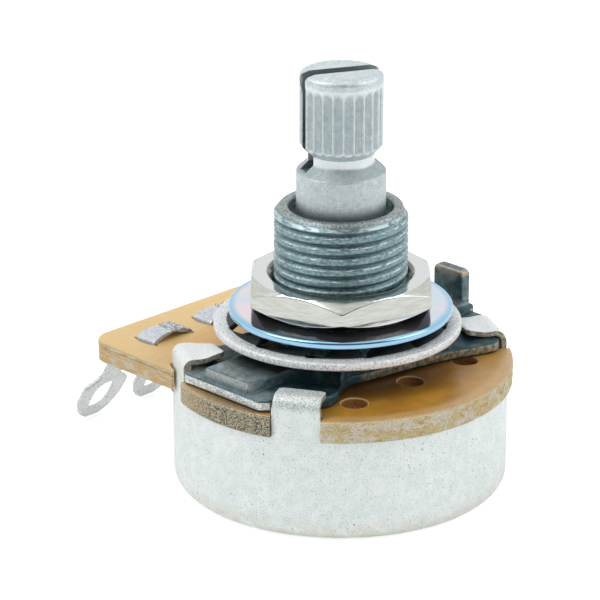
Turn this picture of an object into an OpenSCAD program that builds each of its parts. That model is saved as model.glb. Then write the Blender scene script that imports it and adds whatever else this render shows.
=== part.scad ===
// Panel potentiometer with a 24 mm can, a threaded bushing and a knurled split shaft.
// Z runs up along the shaft and starts at the flat back of the can.
// X runs along the mounting plate, with the locating lug at its +X end.
// The three solder lugs point to +Y. All sizes are in millimetres.

/* [Can] */
// Outer radius of the can
can_r = 12.0; // [11.5:0.1:13]
// Height of the can's rim, which carries the board
can_h = 7.6; // [7:0.1:10]
// Thickness of the can's sheet
can_wall = 0.6; // [0.4:0.05:0.8]
// Outside radius of the edge round the can's back
can_edge_r = 1.1; // [0.7:0.1:1.6]
// Width of a fold-over tab
tab_w = 3.4; // [2.6:0.1:3.8]
// Angle of a tab from the plate's long axis
tab_angle = 29.5; // [28:0.5:31]
// Length of a tab's fold, from the can's outside to its free end
tab_fold = 2.4; // [2.2:0.1:3]
// Outside radius of a tab's bend
tab_bend_r = 1.3; // [0.9:0.1:1.5]
// Side clearance of the terminals in the opening where they leave the can
window_gap = 0.8; // [0.5:0.1:1]
// Depth of that opening below the rim
terminal_window_depth = 0.9; // [0.8:0.05:1.2]
// How far the stop that is pressed into the wall reaches below and above the rotor's disc
stop_margin = 0.3; // [0.1:0.1:0.5]
// How far the stop stands in from the can's outside
stop_depth = 2.3; // [2.1:0.1:2.5]

/* [Board] */
// How far the board's round edge stands out past the can
board_lip = 0.35; // [0:0.05:0.6]
// Thickness of the laminate
board_t = 1.6; // [1.2:0.1:2]
// Half the width of the part that carries the terminals
board_half_w = 10.35; // [10:0.05:10.8]
// Distance from the axis to the terminal edge
board_end_y = 15.35; // [14.8:0.05:16]
// Corner radius at the terminal edge
board_corner_r = 1.6; // [0.8:0.1:2.4]
// Radial clearance of the centre hole round the retaining ring
board_hole_gap = 0.4; // [0.3:0.05:0.5]
// Radius and depth of the three blind pits
pit_r = 0.9; // [0.7:0.05:1]
pit_depth = 0.7; // [0.4:0.05:1]
// Spacing of the pits along X
pit_pitch = 5.65; // [5:0.05:6]
// Distance of the row of pits from the axis
pit_y = 6.9; // [6.7:0.05:7.2]

/* [Printed layers] */
// Thickness of the carbon and silver layers under the board
film_t = 0.1; // [0.06:0.01:0.15]
// Distance from the can's outside to the carbon track, and width of the track
track_inset = 2.2; // [2.2:0.05:2.4]
track_w = 2.2; // [2:0.05:2.3]
// Half the angle of the gap between the track's ends
track_half_gap = 33; // [30:1:36]
// Distance from the board's hole to the collector ring, and width of the ring
collector_margin = 0.3; // [0.2:0.05:0.4]
collector_w = 1.6; // [1.4:0.1:1.7]
// Width of the silver strips that lead to the terminals
lead_w = 2.8; // [2:0.1:3]

/* [Terminals] */
// Spacing of the terminals
terminal_pitch = 5.65; // [5.4:0.05:5.7]
// Thickness of the terminal sheet
terminal_t = 0.4; // [0.3:0.05:0.5]
// Half the distance over the outside of a terminal's two prongs
prong_half = 2.05; // [1.9:0.05:2.15]
// Where the prongs start and end along Y
prong_y0 = 11.15; // [11:0.05:11.4]
prong_y1 = 13.05; // [12.8:0.05:13.2]
// Height of the arch that two prongs make over the board
prong_arch_h = 0.85; // [0.6:0.05:1.2]
// Distance of a prong's end from the middle of its terminal
prong_end_x = 0.12; // [0.06:0.02:0.3]
// Width of the neck of a solder lug
lug_neck_w = 1.7; // [1.4:0.1:2.2]
// Width over the eye of a solder lug
lug_eye_w = 4.1; // [3.4:0.1:4.6]
// Width of the flat end of a solder lug
lug_tip_w = 1.9; // [1.4:0.1:2.4]
// Width and length of the hole in the eye
lug_hole_w = 1.9; // [1.4:0.1:2.2]
lug_hole_l = 3.0; // [2.4:0.1:3.2]
// Slope of the lug below the horizontal
lug_slope = 58; // [54:1:62]
// Inside radius of the bend at the board's edge
lug_bend_r = 0.8; // [0.5:0.1:1.2]
// Distance from the board's edge to the start of that bend
lug_overhang = 0.5; // [0.3:0.05:0.8]
// Height of the lug's lowest edge above the can's back
lug_tip_z = 0.1; // [0.05:0.05:0.6]

/* [Mounting plate] */
// Thickness of the plate's flange
flange_t = 0.9; // [0.8:0.05:1.2]
// Distance from the plate's ends to the can's outside
plate_inset = 0.4; // [0.2:0.05:0.7]
// Half the width of the plate's straight ends
plate_end_half_w = 3.65; // [3.4:0.05:3.9]
// Height of the rib and boss above the flange
rib_h = 0.8; // [0.6:0.05:1]
// Half the width of the rib
rib_half_w = 2.15; // [1.9:0.05:2.3]
// Radius of the round boss under the washers
boss_r = 6.9; // [6.6:0.1:7.1]
// Radius of the hollow corner between the boss and the rib
boss_blend_r = 2.0; // [1:0.1:3]

/* [Locating lug] */
// Width of the lug along Y
locator_w = 2.6; // [2.4:0.1:3.2]
// Thickness of the lug along X
locator_t = 0.9; // [0.7:0.05:1.1]
// Height of the lug above the boss
locator_h = 2.15; // [1.8:0.05:2.8]
// Rounding of its upper corners
locator_corner_r = 0.45; // [0.2:0.05:0.7]
// Height of the step at its foot, above the flange
locator_step_h = 0.35; // [0.2:0.05:0.6]

/* [Bushing] */
// Outside diameter of the thread
thread_d = 9.525; // [9.3:0.005:9.525]
// Height of the bushing above the boss
bushing_l = 9.8; // [8.8:0.1:12]
// Chamfer at the bushing's mouth
bushing_chamfer = 0.55; // [0.2:0.05:0.8]
// Clearance and depth of the recess round the shaft at the mouth
mouth_gap = 0.475; // [0.3:0.025:0.7]
mouth_depth = 0.8; // [0.4:0.1:1.6]

/* [Shaft] */
// Diameter of the shaft
shaft_d = 6.35; // [6.2:0.01:6.35]
// Radial running clearance of the shaft in the bushing
shaft_clearance = 0.03; // [0.02:0.005:0.08]
// Height of the shoulder above the bushing's mouth
shoulder_l = 2.55; // [2:0.05:4]
// Height of the cone above the shoulder
cone_h = 0.75; // [0.5:0.05:1]
// Length of the plain neck
neck_l = 0.6; // [0.4:0.05:1]
// Diameter of the neck
neck_d = 4.7; // [4.4:0.05:5.2]
// Length of the cone that leads from the neck to the knurl
knurl_lead = 0.65; // [0.4:0.05:0.9]
// Diameter over the knurl
knurl_d = 5.9; // [5.8:0.01:6]
// Length of the knurl at full diameter
knurl_l = 4.9; // [4.5:0.1:6]
// Height of the rounded end above the knurl
knurl_top_h = 0.45; // [0.3:0.05:0.6]
// Number of flutes
flute_n = 24; // [24]
// Depth of a flute
flute_depth = 0.2; // [0.12:0.01:0.22]
// Width of the slot across the shaft's end
slot_w = 1.05; // [0.9:0.05:1.3]
// Direction of the slot
slot_angle = -30; // [-90:1:90]
// Depth of the slot's floor above the shoulder
slot_floor = 0.2; // [0.1:0.05:0.5]

/* [Inside of the can] */
// Step from the shaft's running diameter down to its lower end, where the rotor sits
seat_step = 0.575; // [0.4:0.025:0.7]
// Depth of the flat on that end
seat_flat = 0.7; // [0.5:0.05:0.9]
// Thickness of the hub's wall
hub_wall = 1.3; // [1:0.05:1.4]
// How far the hub stands above and below the rotor's disc
hub_rise = 0.6; // [0.4:0.05:0.7]
hub_drop = 1.5; // [1:0.1:1.9]
// Distance from the board down to the rotor's disc, and thickness of the disc
disc_depth = 1.7; // [1.5:0.05:1.8]
disc_t = 1.4; // [1:0.1:1.5]
// Clearance of the disc inside the stop
disc_gap = 0.5; // [0.4:0.1:0.8]
// Clearance of the stop arm inside the can's wall
arm_gap = 0.6; // [0.4:0.1:0.9]
// Half the angle of the stop arm
arm_half_deg = 9; // [7:0.5:10]
// Travel of the shaft to either side of its middle
half_travel = 150; // [140:1:150]
// Thickness of the contact spring
wiper_t = 0.2; // [0.15:0.01:0.25]
// Width of one contact finger
finger_w = 0.7; // [0.5:0.05:0.8]
// Length of a contact finger
finger_l = 4.2; // [3.6:0.1:4.6]
// Distance from the track's inner edge to the first finger's middle
finger_inset = 0.4; // [0.35:0.05:0.45]
// Thickness of the retaining ring
ring_t = 0.55; // [0.4:0.05:0.6]
// How far the retaining ring stands out past the shaft
ring_reach = 1.125; // [0.9:0.025:1.2]
// Depth of the ring's groove in the shaft
groove_depth = 0.675; // [0.5:0.025:0.8]
// Thickness of the thrust washer
thrust_t = 0.16; // [0.1:0.01:0.2]

/* [Washers and nut] */
// Outside radius of the toothed washer
lock_r = 8.85; // [8.6:0.05:9]
// Width of the toothed washer's rim
lock_rim_w = 1.15; // [0.9:0.05:1.4]
// Thickness of its rim
lock_t = 0.66; // [0.5:0.02:0.7]
// Height of the twisted teeth
lock_tooth_h = 1.86; // [1.6:0.02:2]
// Number of teeth
lock_teeth = 12; // [9:1:12]
// Angle by which each tooth is twisted
lock_twist = 40; // [34:1:44]
// Clearance of the teeth round the bushing
lock_gap = 0.74; // [0.5:0.02:1.2]
// How far the loose toothed washer lies off centre
lock_shift = 0.22; // [0:0.02:0.4]
// Outside radius of the dress washer
dress_r = 8.0; // [7.8:0.05:8.2]
// Clearance of the dress washer round the bushing
dress_gap = 0.19; // [0.1:0.01:0.3]
// Thickness of the dress washer
dress_t = 0.5; // [0.4:0.05:0.6]
// Thickness of the nut's wall at its flats, outside the thread
nut_wall = 1.5875; // [1.4:0.0125:1.7]
// Thickness of the nut
nut_t = 2.1; // [2:0.02:2.6]
// Height of the finger-tight nut above the dress washer
nut_gap = 0.3; // [0.02:0.02:1]
// Radial clearance of the nut on the bushing
nut_clearance = 0.04; // [0.03:0.01:0.08]
// Height of the nut's corner chamfers
nut_chamfer = 0.45; // [0.3:0.05:0.6]
// Direction of one of the nut's corners
nut_angle = 45; // [0:1:60]

/* [Hidden] */

// A hair of clearance between pieces that lie face to face, and of overlap inside one piece
hair = 0.02;
eps = 0.01;
round_fn = 96;

// Sizes that follow from what each piece sits in or round
shaft_r = shaft_d / 2;
thread_r = thread_d / 2;
knurl_r = knurl_d / 2;
neck_r = neck_d / 2;
bore_r = shaft_r + shaft_clearance;
mouth_r = shaft_r + mouth_gap;
board_r = can_r + board_lip;
tab_end_r = can_r - tab_fold;
plate_half_l = can_r - plate_inset;
terminal_window = terminal_pitch + prong_half + window_gap;
ring_r = shaft_r + ring_reach;
groove_r = shaft_r - groove_depth;
board_hole_r = ring_r + board_hole_gap;
collector_r_in = board_hole_r + collector_margin;
collector_r_out = collector_r_in + collector_w;
track_r_out = can_r - track_inset;
track_r_in = track_r_out - track_w;
seat_r = shaft_r - seat_step;
rotor_flat = seat_r - seat_flat;
hub_r = seat_r + hub_wall;
disc_r = can_r - stop_depth - disc_gap;
arm_r = can_r - can_wall - arm_gap;
lock_bore_r = thread_r + lock_gap;
dress_bore_r = thread_r + dress_gap;
nut_corner_r = (thread_r + nut_wall) / cos(30);

// Heights that follow from the stack
disc_high_z = can_h - disc_depth;
disc_low_z = disc_high_z - disc_t;
hub_high_z = disc_high_z + hub_rise;
hub_low_z = disc_low_z - hub_drop;
stop_low_z = disc_low_z - stop_margin;
stop_high_z = disc_high_z + stop_margin;
board_z = can_h;
plate_z = board_z + board_t;
flange_z = plate_z + flange_t;
boss_z = flange_z + rib_h;
bushing_z = boss_z + bushing_l;
film_z = board_z - film_t;
terminal_z = film_z - terminal_t;

shoulder_z = bushing_z + shoulder_l;
neck_z = shoulder_z + cone_h;
knurl_foot_z = neck_z + neck_l;
knurl_z = knurl_foot_z + knurl_lead;
knurl_end_z = knurl_z + knurl_l;
shaft_end_z = knurl_end_z + knurl_top_h;
slot_z = shoulder_z + slot_floor;

thrust_z = plate_z - hair - thrust_t;
ring_z = thrust_z - hair - ring_t;

lock_mid_z = boss_z + hair + lock_tooth_h / 2;
dress_z = boss_z + lock_tooth_h + 2 * hair;
nut_z = dress_z + dress_t + nut_gap;

// Clearance of the tabs in the notches that they pass through
notch_gap = 0.15;
// How far the flat tabs stand in from the round wall, so that their edges don't stand out of it
tab_inset = 0.06;
tab_angles = [tab_angle, 180 - tab_angle, 180 + tab_angle, 360 - tab_angle];

// Radii at which the contact fingers touch the collector ring and the track
finger_rs = [
    (collector_r_in + collector_r_out) / 2, track_r_in + finger_inset,
    track_r_in + finger_inset + finger_w + 0.2
];
// Start and end of the sector that carries the fingers, and places of the pips that hold it
wiper_from_deg = 297;
wiper_to_deg = 325;
wiper_pip_deg = 312;
wiper_pip_rs = [collector_r_in + 0.2, track_r_in - 0.3];

function arc(c, r, a0, a1, n = 12) =
    [for (i = [0:n]) c + r * [cos(a0 + (a1 - a0) * i / n), sin(a0 + (a1 - a0) * i / n)]];

// A sector between two radii, standing from z0 to z1
module ring_sector(r0, r1, a0, a1, z0, z1) {
    rotate([0, 0, a0])
        rotate_extrude(angle = a1 - a0, $fn = round_fn)
            translate([r0, z0])
                square([r1 - r0, z1 - z0]);
}

module tube(r0, r1, z0, z1) {
    translate([0, 0, z0])
        difference() {
            cylinder(r = r1, h = z1 - z0, $fn = round_fn);
            translate([0, 0, -eps])
                cylinder(r = r0, h = z1 - z0 + 2 * eps, $fn = round_fn);
        }
}

// Plan of the passages of the four tabs, from the tabs' inner faces out to radius r_out
module tab_passages(r_out) {
    r_in = can_r - tab_inset - can_wall - notch_gap;
    for (a = tab_angles)
        rotate([0, 0, a])
            translate([r_in, -tab_w / 2 - notch_gap])
                square([r_out - r_in, tab_w + 2 * notch_gap]);
}

// One tab: it stands on the rim, passes the board and flange and folds in over the plate
module tab() {
    outer = can_r - tab_inset;
    foot_z = can_h - can_wall;
    top_z = flange_z + hair + can_wall;
    bend_c = [outer - tab_bend_r, top_z - tab_bend_r];
    profile = concat(
        [[outer - can_wall, foot_z], [outer, foot_z]],
        arc(bend_c, tab_bend_r, 0, 90),
        [[tab_end_r, top_z], [tab_end_r, top_z - can_wall]],
        arc(bend_c, tab_bend_r - can_wall, 90, 0)
    );
    translate([0, tab_w / 2, 0])
        rotate([90, 0, 0])
            linear_extrude(tab_w)
                polygon(profile);
}

module cover() {
    stop_half_deg = 180 - half_travel - arm_half_deg - 1.5;
    shell = concat(
        [[0, 0]],
        arc([can_r - can_edge_r, can_edge_r], can_edge_r, -90, 0),
        [[can_r, can_h], [can_r - can_wall, can_h]],
        arc([can_r - can_edge_r, can_edge_r], can_edge_r - can_wall, 0, -90),
        [[0, can_wall]]
    );
    color("gainsboro")
        union() {
            difference() {
                rotate_extrude($fn = round_fn)
                    polygon(shell);
                // opening for the terminals
                translate([-terminal_window, 0, can_h - terminal_window_depth])
                    cube([2 * terminal_window, 2 * can_r, terminal_window_depth + 1]);
                // dent outside the stop
                ring_sector(can_r - stop_depth + can_wall, can_r + 1, 90 - stop_half_deg + 4,
                    90 + stop_half_deg - 4, stop_low_z + can_wall, stop_high_z - can_wall);
            }
            // stop pressed in from the wall
            difference() {
                ring_sector(can_r - stop_depth, can_r - can_wall / 2, 90 - stop_half_deg,
                    90 + stop_half_deg, stop_low_z, stop_high_z);
                ring_sector(can_r - stop_depth + can_wall, can_r + 1, 90 - stop_half_deg + 4,
                    90 + stop_half_deg - 4, stop_low_z + can_wall, stop_high_z - can_wall);
            }
            for (a = tab_angles)
                rotate([0, 0, a])
                    tab();
        }
}

// Part of the board that runs out past the can to carry the terminals
module terminal_wing() {
    c = board_corner_r;
    polygon(concat(
        [[-board_half_w, 0], [board_half_w, 0]],
        arc([board_half_w - c, board_end_y - c], c, 0, 90),
        arc([c - board_half_w, board_end_y - c], c, 90, 180)
    ));
}

// Plan of the board: the passages are open at its round edge and closed in the wing
module board_outline() {
    difference() {
        circle(r = board_r, $fn = round_fn);
        tab_passages(2 * can_r);
    }
    difference() {
        terminal_wing();
        tab_passages(can_r + notch_gap);
    }
}

module element_board() {
    color("goldenrod")
        difference() {
            translate([0, 0, board_z])
                linear_extrude(board_t)
                    board_outline();
            translate([0, 0, board_z - 1])
                cylinder(r = board_hole_r, h = board_t + 2, $fn = round_fn);
            for (i = [-1:1])
                translate([i * pit_pitch, -pit_y, plate_z - pit_depth])
                    cylinder(r = pit_r, h = 2, $fn = 48);
    // slots for the prongs
            for (i = [-1:1], side = [-1, 1])
                translate([
                    i * terminal_pitch + side * (prong_half - terminal_t / 2) - terminal_t / 2 - hair,
                    prong_y0 - hair, board_z - 1
                ])
                    cube([terminal_t + 2 * hair, prong_y1 - prong_y0 + 2 * hair, board_t + 2]);
        }
}

module resistive_track() {
    color([0.1, 0.1, 0.11])
        ring_sector(track_r_in, track_r_out, 90 + track_half_gap, 450 - track_half_gap,
            film_z, board_z);
}

// Silver end of the track with the lead to a terminal, for side = 1 at +X and side = -1 at -X
module track_end(side) {
    end_deg = 90 - side * track_half_gap;
    lead_y = track_r_in;
    color("silver")
        union() {
            ring_sector(track_r_in, track_r_out, min(end_deg, end_deg + side * 12),
                max(end_deg, end_deg + side * 12), film_z, board_z);
            translate([side * terminal_pitch - lead_w / 2, lead_y, film_z])
                difference() {
                    cube([lead_w, prong_y1 - lead_y, film_t]);
                    // the lead keeps clear of the carbon
                    translate([lead_w / 2 - side * terminal_pitch, -lead_y, -1])
                        ring_sector(track_r_in - 1, track_r_out + hair, 90 - side * track_half_gap
                            - (side > 0 ? 60 : 0), 90 - side * track_half_gap + (side > 0 ? 0 : 60),
                            0, 2 + film_t);
                }
        }
}

module collector_ring() {
    color("lightgray")
        union() {
            tube(collector_r_in, collector_r_out, film_z, board_z);
            translate([-lead_w / 4, collector_r_out - 0.4, film_z])
                cube([lead_w / 2, prong_y1 - collector_r_out + 0.4, film_t]);
        }
}

// One prong: it stands at x = prong_half and bends down over the board in a low arch
module prong() {
    foot = plate_z + hair;
    run = prong_half - prong_end_x;
    // radius and centre of the arch, from its run and height
    drop = (run * run - prong_arch_h * prong_arch_h) / (2 * prong_arch_h);
    r = drop + prong_arch_h;
    c = [prong_end_x, foot - drop];
    r_in = r - terminal_t;
    profile = concat(
        [[prong_half - terminal_t, terminal_z], [prong_half, terminal_z]],
        arc(c, r, asin(drop / r), 90),
        arc(c, r_in, 90, asin(drop / r_in)),
        [[prong_half - terminal_t, foot]]
    );
    translate([0, prong_y1, 0])
        rotate([90, 0, 0])
            linear_extrude(prong_y1 - prong_y0)
                polygon(profile);
}

// The part of a lug below its bend, drawn flat from its neck at u = 0 to its end at u = l
module lug_blade(l) {
    neck = lug_neck_w / 2;
    eye = lug_eye_w / 2;
    tip = lug_tip_w / 2;
    hole_end = l - 0.85;
    eye_start = l - 4.6;
    r = lug_hole_w / 2;
    linear_extrude(terminal_t)
        difference() {
            polygon([
                [-0.05, -neck], [eye_start, -neck], [eye_start + 0.9, -eye], [l - 1.9, -eye],
                [l - 0.55, -tip - 0.55], [l, -tip], [l, tip], [l - 0.55, tip + 0.55],
                [l - 1.9, eye], [eye_start + 0.9, eye], [eye_start, neck], [-0.05, neck]
            ]);
            translate([hole_end - r, 0])
                circle(r = r, $fn = 48);
            translate([hole_end - lug_hole_l + r, 0])
                circle(r = r, $fn = 48);
            translate([hole_end - lug_hole_l + r, -r])
                square([lug_hole_l - 2 * r, lug_hole_w]);
        }
}

module terminal() {
    bend_y = board_end_y + lug_overhang;
    mid_r = lug_bend_r + terminal_t;
    end_y = bend_y + mid_r * sin(lug_slope);
    end_z = film_z - mid_r * (1 - cos(lug_slope));
    blade_l = (end_z - lug_tip_z - terminal_t * cos(lug_slope)) / sin(lug_slope);
    color("whitesmoke")
        union() {
            // sheet under the board
            translate([-prong_half, prong_y0, terminal_z])
                cube([2 * prong_half, prong_y1 - prong_y0, terminal_t]);
            translate([-lug_neck_w / 2, prong_y0 - 1.2, terminal_z])
                cube([lug_neck_w, bend_y - prong_y0 + 1.2 + eps, terminal_t]);
            for (side = [0, 1])
                mirror([side, 0, 0])
                    prong();
            // bend
            translate([lug_neck_w / 2, bend_y, terminal_z - lug_bend_r])
                rotate([0, -90, 0])
                    rotate_extrude(angle = lug_slope, $fn = round_fn)
                        translate([lug_bend_r, 0])
                            square([terminal_t, lug_neck_w]);
            // sloping lug with its eye
            translate([0, end_y, end_z])
                rotate([-lug_slope, 0, 0])
                    rotate([0, 0, 90])
                        translate([0, 0, -terminal_t])
                            lug_blade(blade_l);
        }
}

// Plan of the flange: straight ends, a wing by each tab and a waist below the washers
module flange_outline() {
    e = plate_end_half_w;
    l = plate_half_l;
    // wing at the plain end, waist below the washers, and the larger wing at the lug's end
    wing = [for (p = [[3.1, 2.35], [4.1, 2.75], [5.0, 2.55], [6.1, 1.85]]) [p[0] - l, -e - p[1]]];
    waist = [for (p = [[-4.5, 2.0], [-3.6, 2.15], [-1.3, 1.7], [1.5, 1.3], [4.0, 0.75]])
        [p[0], p[1] - boss_r]];
    large_wing = [for (p = [[5.4, 3.3], [3.2, 4.0], [2.3, 3.25]]) [l - p[0], -e - p[1]]];
    half = concat([[-l, -e], [0.9 - l, -e - 0.75]], wing, waist, large_wing, [[l, -e]]);
    mirrored = [for (i = [len(half) - 1:-1:0]) [half[i][0], -half[i][1]]];
    polygon(concat(half, mirrored));
}

// Plan of what stands above the flange: the round boss blended into the long rib
module raised_outline() {
    cx = sqrt(pow(boss_r + boss_blend_r, 2) - pow(rib_half_w + boss_blend_r, 2));
    cy = rib_half_w + boss_blend_r;
    intersection() {
        union() {
            circle(r = boss_r, $fn = round_fn);
            translate([-plate_half_l + 0.35, -rib_half_w])
                square([2 * plate_half_l - 0.7, 2 * rib_half_w]);
            for (sx = [-1, 1], sy = [-1, 1])
                difference() {
                    polygon([[0, 0], [sx * cx, 0], [sx * cx, sy * cy]]);
                    translate([sx * cx, sy * cy])
                        circle(r = boss_blend_r, $fn = 48);
                }
        }
        flange_outline();
    }
}

module locating_lug() {
    x0 = plate_half_l - locator_t + 0.4;
    top = boss_z + locator_h;
    w = locator_w / 2;
    c = locator_corner_r;
    translate([x0, 0, 0])
        rotate([90, 0, 90])
            linear_extrude(locator_t)
                polygon(concat(
                    [[-w, plate_z], [w, plate_z]],
                    arc([w - c, top - c], c, 0, 90, 6),
                    arc([c - w, top - c], c, 90, 180, 6)
                ));
    translate([x0 - 0.5, -w - 0.45, plate_z])
        cube([locator_t + 0.5, locator_w + 0.9, flange_t + locator_step_h]);
}

module bushing_plate() {
    color("slategray")
        difference() {
            union() {
                translate([0, 0, plate_z])
                    linear_extrude(flange_t)
                        difference() {
                            flange_outline();
                            tab_passages(2 * can_r);
                        }
                translate([0, 0, plate_z])
                    linear_extrude(flange_t + rib_h)
                        raised_outline();
                locating_lug();
                translate([0, 0, plate_z])
                    cylinder(r = thread_r, h = bushing_z - plate_z - bushing_chamfer, $fn = round_fn);
                translate([0, 0, bushing_z - bushing_chamfer])
                    cylinder(r1 = thread_r, r2 = thread_r - bushing_chamfer, h = bushing_chamfer,
                        $fn = round_fn);
            }
            translate([0, 0, plate_z - 1])
                cylinder(r = bore_r, h = bushing_z, $fn = round_fn);
            translate([0, 0, bushing_z - mouth_depth])
                cylinder(r = mouth_r, h = mouth_depth + 1, $fn = round_fn);
        }
}

module thrust_washer() {
    color("tan")
        tube(shaft_r + 0.1, ring_r + 0.1, thrust_z, thrust_z + thrust_t);
}

// Open ring that snaps into the shaft's groove
module retaining_ring() {
    color("dimgray")
        difference() {
            tube(groove_r + hair, ring_r, ring_z, ring_z + ring_t);
            translate([-groove_r * 0.8, 0, ring_z - 1])
                cube([groove_r * 1.6, ring_r + 1, ring_t + 2]);
        }
}

module shaft() {
    groove_top = ring_z + ring_t + hair;
    groove_low = ring_z - hair;
    head_z = hub_low_z - 0.9;
    top_r = knurl_r - 0.6;
    profile = concat(
        [
            [0, head_z], [seat_r + 0.2, head_z], [seat_r + 0.45, head_z + 0.3],
            [seat_r + 0.45, hub_low_z - hair], [seat_r, hub_low_z - hair],
            [seat_r, hub_high_z + hair], [shaft_r, hub_high_z + hair],
            [shaft_r, groove_low], [groove_r, groove_low], [groove_r, groove_top],
            [shaft_r, groove_top], [shaft_r, shoulder_z], [neck_r, neck_z], [neck_r, knurl_foot_z],
            [knurl_r, knurl_z], [knurl_r, knurl_end_z], [knurl_r - 0.12, knurl_end_z + 0.22]
        ],
        [[top_r, shaft_end_z], [0, shaft_end_z]]
    );
    flute_side = flute_depth * 2 * sqrt(2);
    color("lightsteelblue")
        difference() {
            rotate_extrude($fn = round_fn)
                polygon(profile);
            // flat for the rotor
            translate([-shaft_r, -2 * shaft_r - rotor_flat, hub_low_z])
                cube([2 * shaft_r, 2 * shaft_r, hub_high_z + hair - hub_low_z]);
            // slot across the end
            rotate([0, 0, slot_angle])
                translate([-2 * knurl_r, -slot_w / 2, slot_z])
                    cube([4 * knurl_r, slot_w, shaft_end_z]);
            // flutes of the knurl
            for (i = [0:flute_n - 1])
                rotate([0, 0, 10 + i * 360 / flute_n])
                    translate([knurl_r + flute_depth, 0, knurl_foot_z])
                        rotate([0, 0, 45])
                            translate([-flute_side / 2, -flute_side / 2, 0])
                                cube([flute_side, flute_side, knurl_end_z - knurl_foot_z + hair]);
        }
}

module rotor() {
    color("saddlebrown")
        union() {
            difference() {
                union() {
                    tube(0.1, hub_r, hub_low_z, hub_high_z);
                    tube(0.1, disc_r, disc_low_z, disc_high_z);
                    ring_sector(disc_r - 1, arm_r, 270 - arm_half_deg, 270 + arm_half_deg,
                        disc_low_z, disc_high_z);
                }
                // hole with the flat of the shaft's end
                difference() {
                    translate([0, 0, hub_low_z - 1])
                        cylinder(r = seat_r + hair, h = hub_high_z, $fn = round_fn);
                    translate([-shaft_r, -2 * shaft_r - rotor_flat - hair, 0])
                        cube([2 * shaft_r, 2 * shaft_r, 2 * hub_high_z]);
                }
            }
            // pips that hold the contact spring
            for (r = wiper_pip_rs)
                rotate([0, 0, wiper_pip_deg])
                    translate([r, 0, disc_high_z - eps])
                        cylinder(r = 0.45, h = wiper_t + 0.25, $fn = 32);
        }
}

// One finger, lying along +X from its root and rising to touch the printed layer at its end
module finger() {
    low = disc_high_z + hair;
    top = film_z - hair;
    t = wiper_t;
    l = finger_l;
    profile = [
        [-0.3, low], [0.6, low], [l - 0.9, top - t - 0.06], [l - 0.5, top - t], [l - 0.1, top - t - 0.14],
        [l + 0.1, top - t + 0.02], [l - 0.35, top], [l - 0.6, top], [l - 1.0, top - 0.07], [0.5, low + t],
        [-0.3, low + t]
    ];
    translate([0, finger_w / 2, 0])
        rotate([90, 0, 0])
            linear_extrude(finger_w)
                polygon(profile);
}

// Contact spring: a sector on the rotor with three fingers, each a chord of its own circle
module wiper() {
    low = disc_high_z + hair;
    root_deg = wiper_from_deg + 2;
    color("khaki")
        difference() {
            union() {
                ring_sector(hub_r + 0.5, finger_rs[2] + finger_w / 2 + 0.05, wiper_from_deg, wiper_to_deg,
                    low, low + wiper_t);
                for (r = finger_rs)
                    rotate([0, 0, root_deg])
                        translate([r, 0, 0])
                            rotate([0, 0, -90 - asin(finger_l / 2 / r)])
                                finger();
            }
            for (r = wiper_pip_rs)
                rotate([0, 0, wiper_pip_deg])
                    translate([r, 0, low - 1])
                        cylinder(r = 0.45 + hair, h = 3, $fn = 32);
        }
}

// Internal-tooth washer: a flat rim with twisted teeth pointing in
module lock_washer() {
    rim_in = lock_r - lock_rim_w;
    tooth_t = 0.5;
    tooth_w = (lock_tooth_h - tooth_t * cos(lock_twist)) / sin(lock_twist);
    color("lightgray")
        translate([-lock_shift * 0.7, lock_shift * 0.7, lock_mid_z])
            union() {
                tube(rim_in, lock_r, -lock_t / 2, lock_t / 2);
                for (i = [0:lock_teeth - 1])
                    rotate([0, 0, (i + 0.5) * 360 / lock_teeth])
                        translate([lock_bore_r, 0, 0])
                            rotate([lock_twist, 0, 0])
                                translate([0, -tooth_w / 2, -tooth_t / 2])
                                    cube([rim_in - lock_bore_r + 0.2, tooth_w, tooth_t]);
            }
}

module dress_washer() {
    color("lightblue")
        tube(dress_bore_r, dress_r, dress_z, dress_z + dress_t);
}

module mounting_nut() {
    bore = thread_r + nut_clearance;
    corner_r = nut_corner_r;
    face_r = corner_r - nut_chamfer / tan(30);
    sink = 0.35;
    body = [
        [bore, nut_z + sink], [bore + sink, nut_z], [face_r, nut_z],
        [corner_r + 0.01, nut_z + nut_chamfer], [corner_r + 0.01, nut_z + nut_t - nut_chamfer],
        [face_r, nut_z + nut_t], [bore + sink, nut_z + nut_t], [bore, nut_z + nut_t - sink]
    ];
    color("lightyellow")
        intersection() {
            rotate_extrude($fn = round_fn)
                polygon(body);
            rotate([0, 0, nut_angle])
                translate([0, 0, nut_z - 1])
                    cylinder(r = corner_r, h = nut_t + 2, $fn = 6);
        }
}

cover();
element_board();
resistive_track();
track_end(-1);  // track_end_left
track_end(1);  // track_end_right
collector_ring();
translate([-terminal_pitch, 0, 0]) terminal();  // terminal_left
terminal();  // terminal_centre
translate([terminal_pitch, 0, 0]) terminal();  // terminal_right
bushing_plate();
thrust_washer();
retaining_ring();
shaft();
rotor();
wiper();
lock_washer();
dress_washer();
mounting_nut();
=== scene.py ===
"""A panel potentiometer: round can, laminate board, cast plate with a threaded bushing, and a knurled shaft.

Lengths are in millimetres until a mesh is made. Z runs up the shaft from the can's back, X along the
mounting plate, and the solder lugs point to +Y. Every shape is a grid of points worked out as one array.
"""
import math

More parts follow.
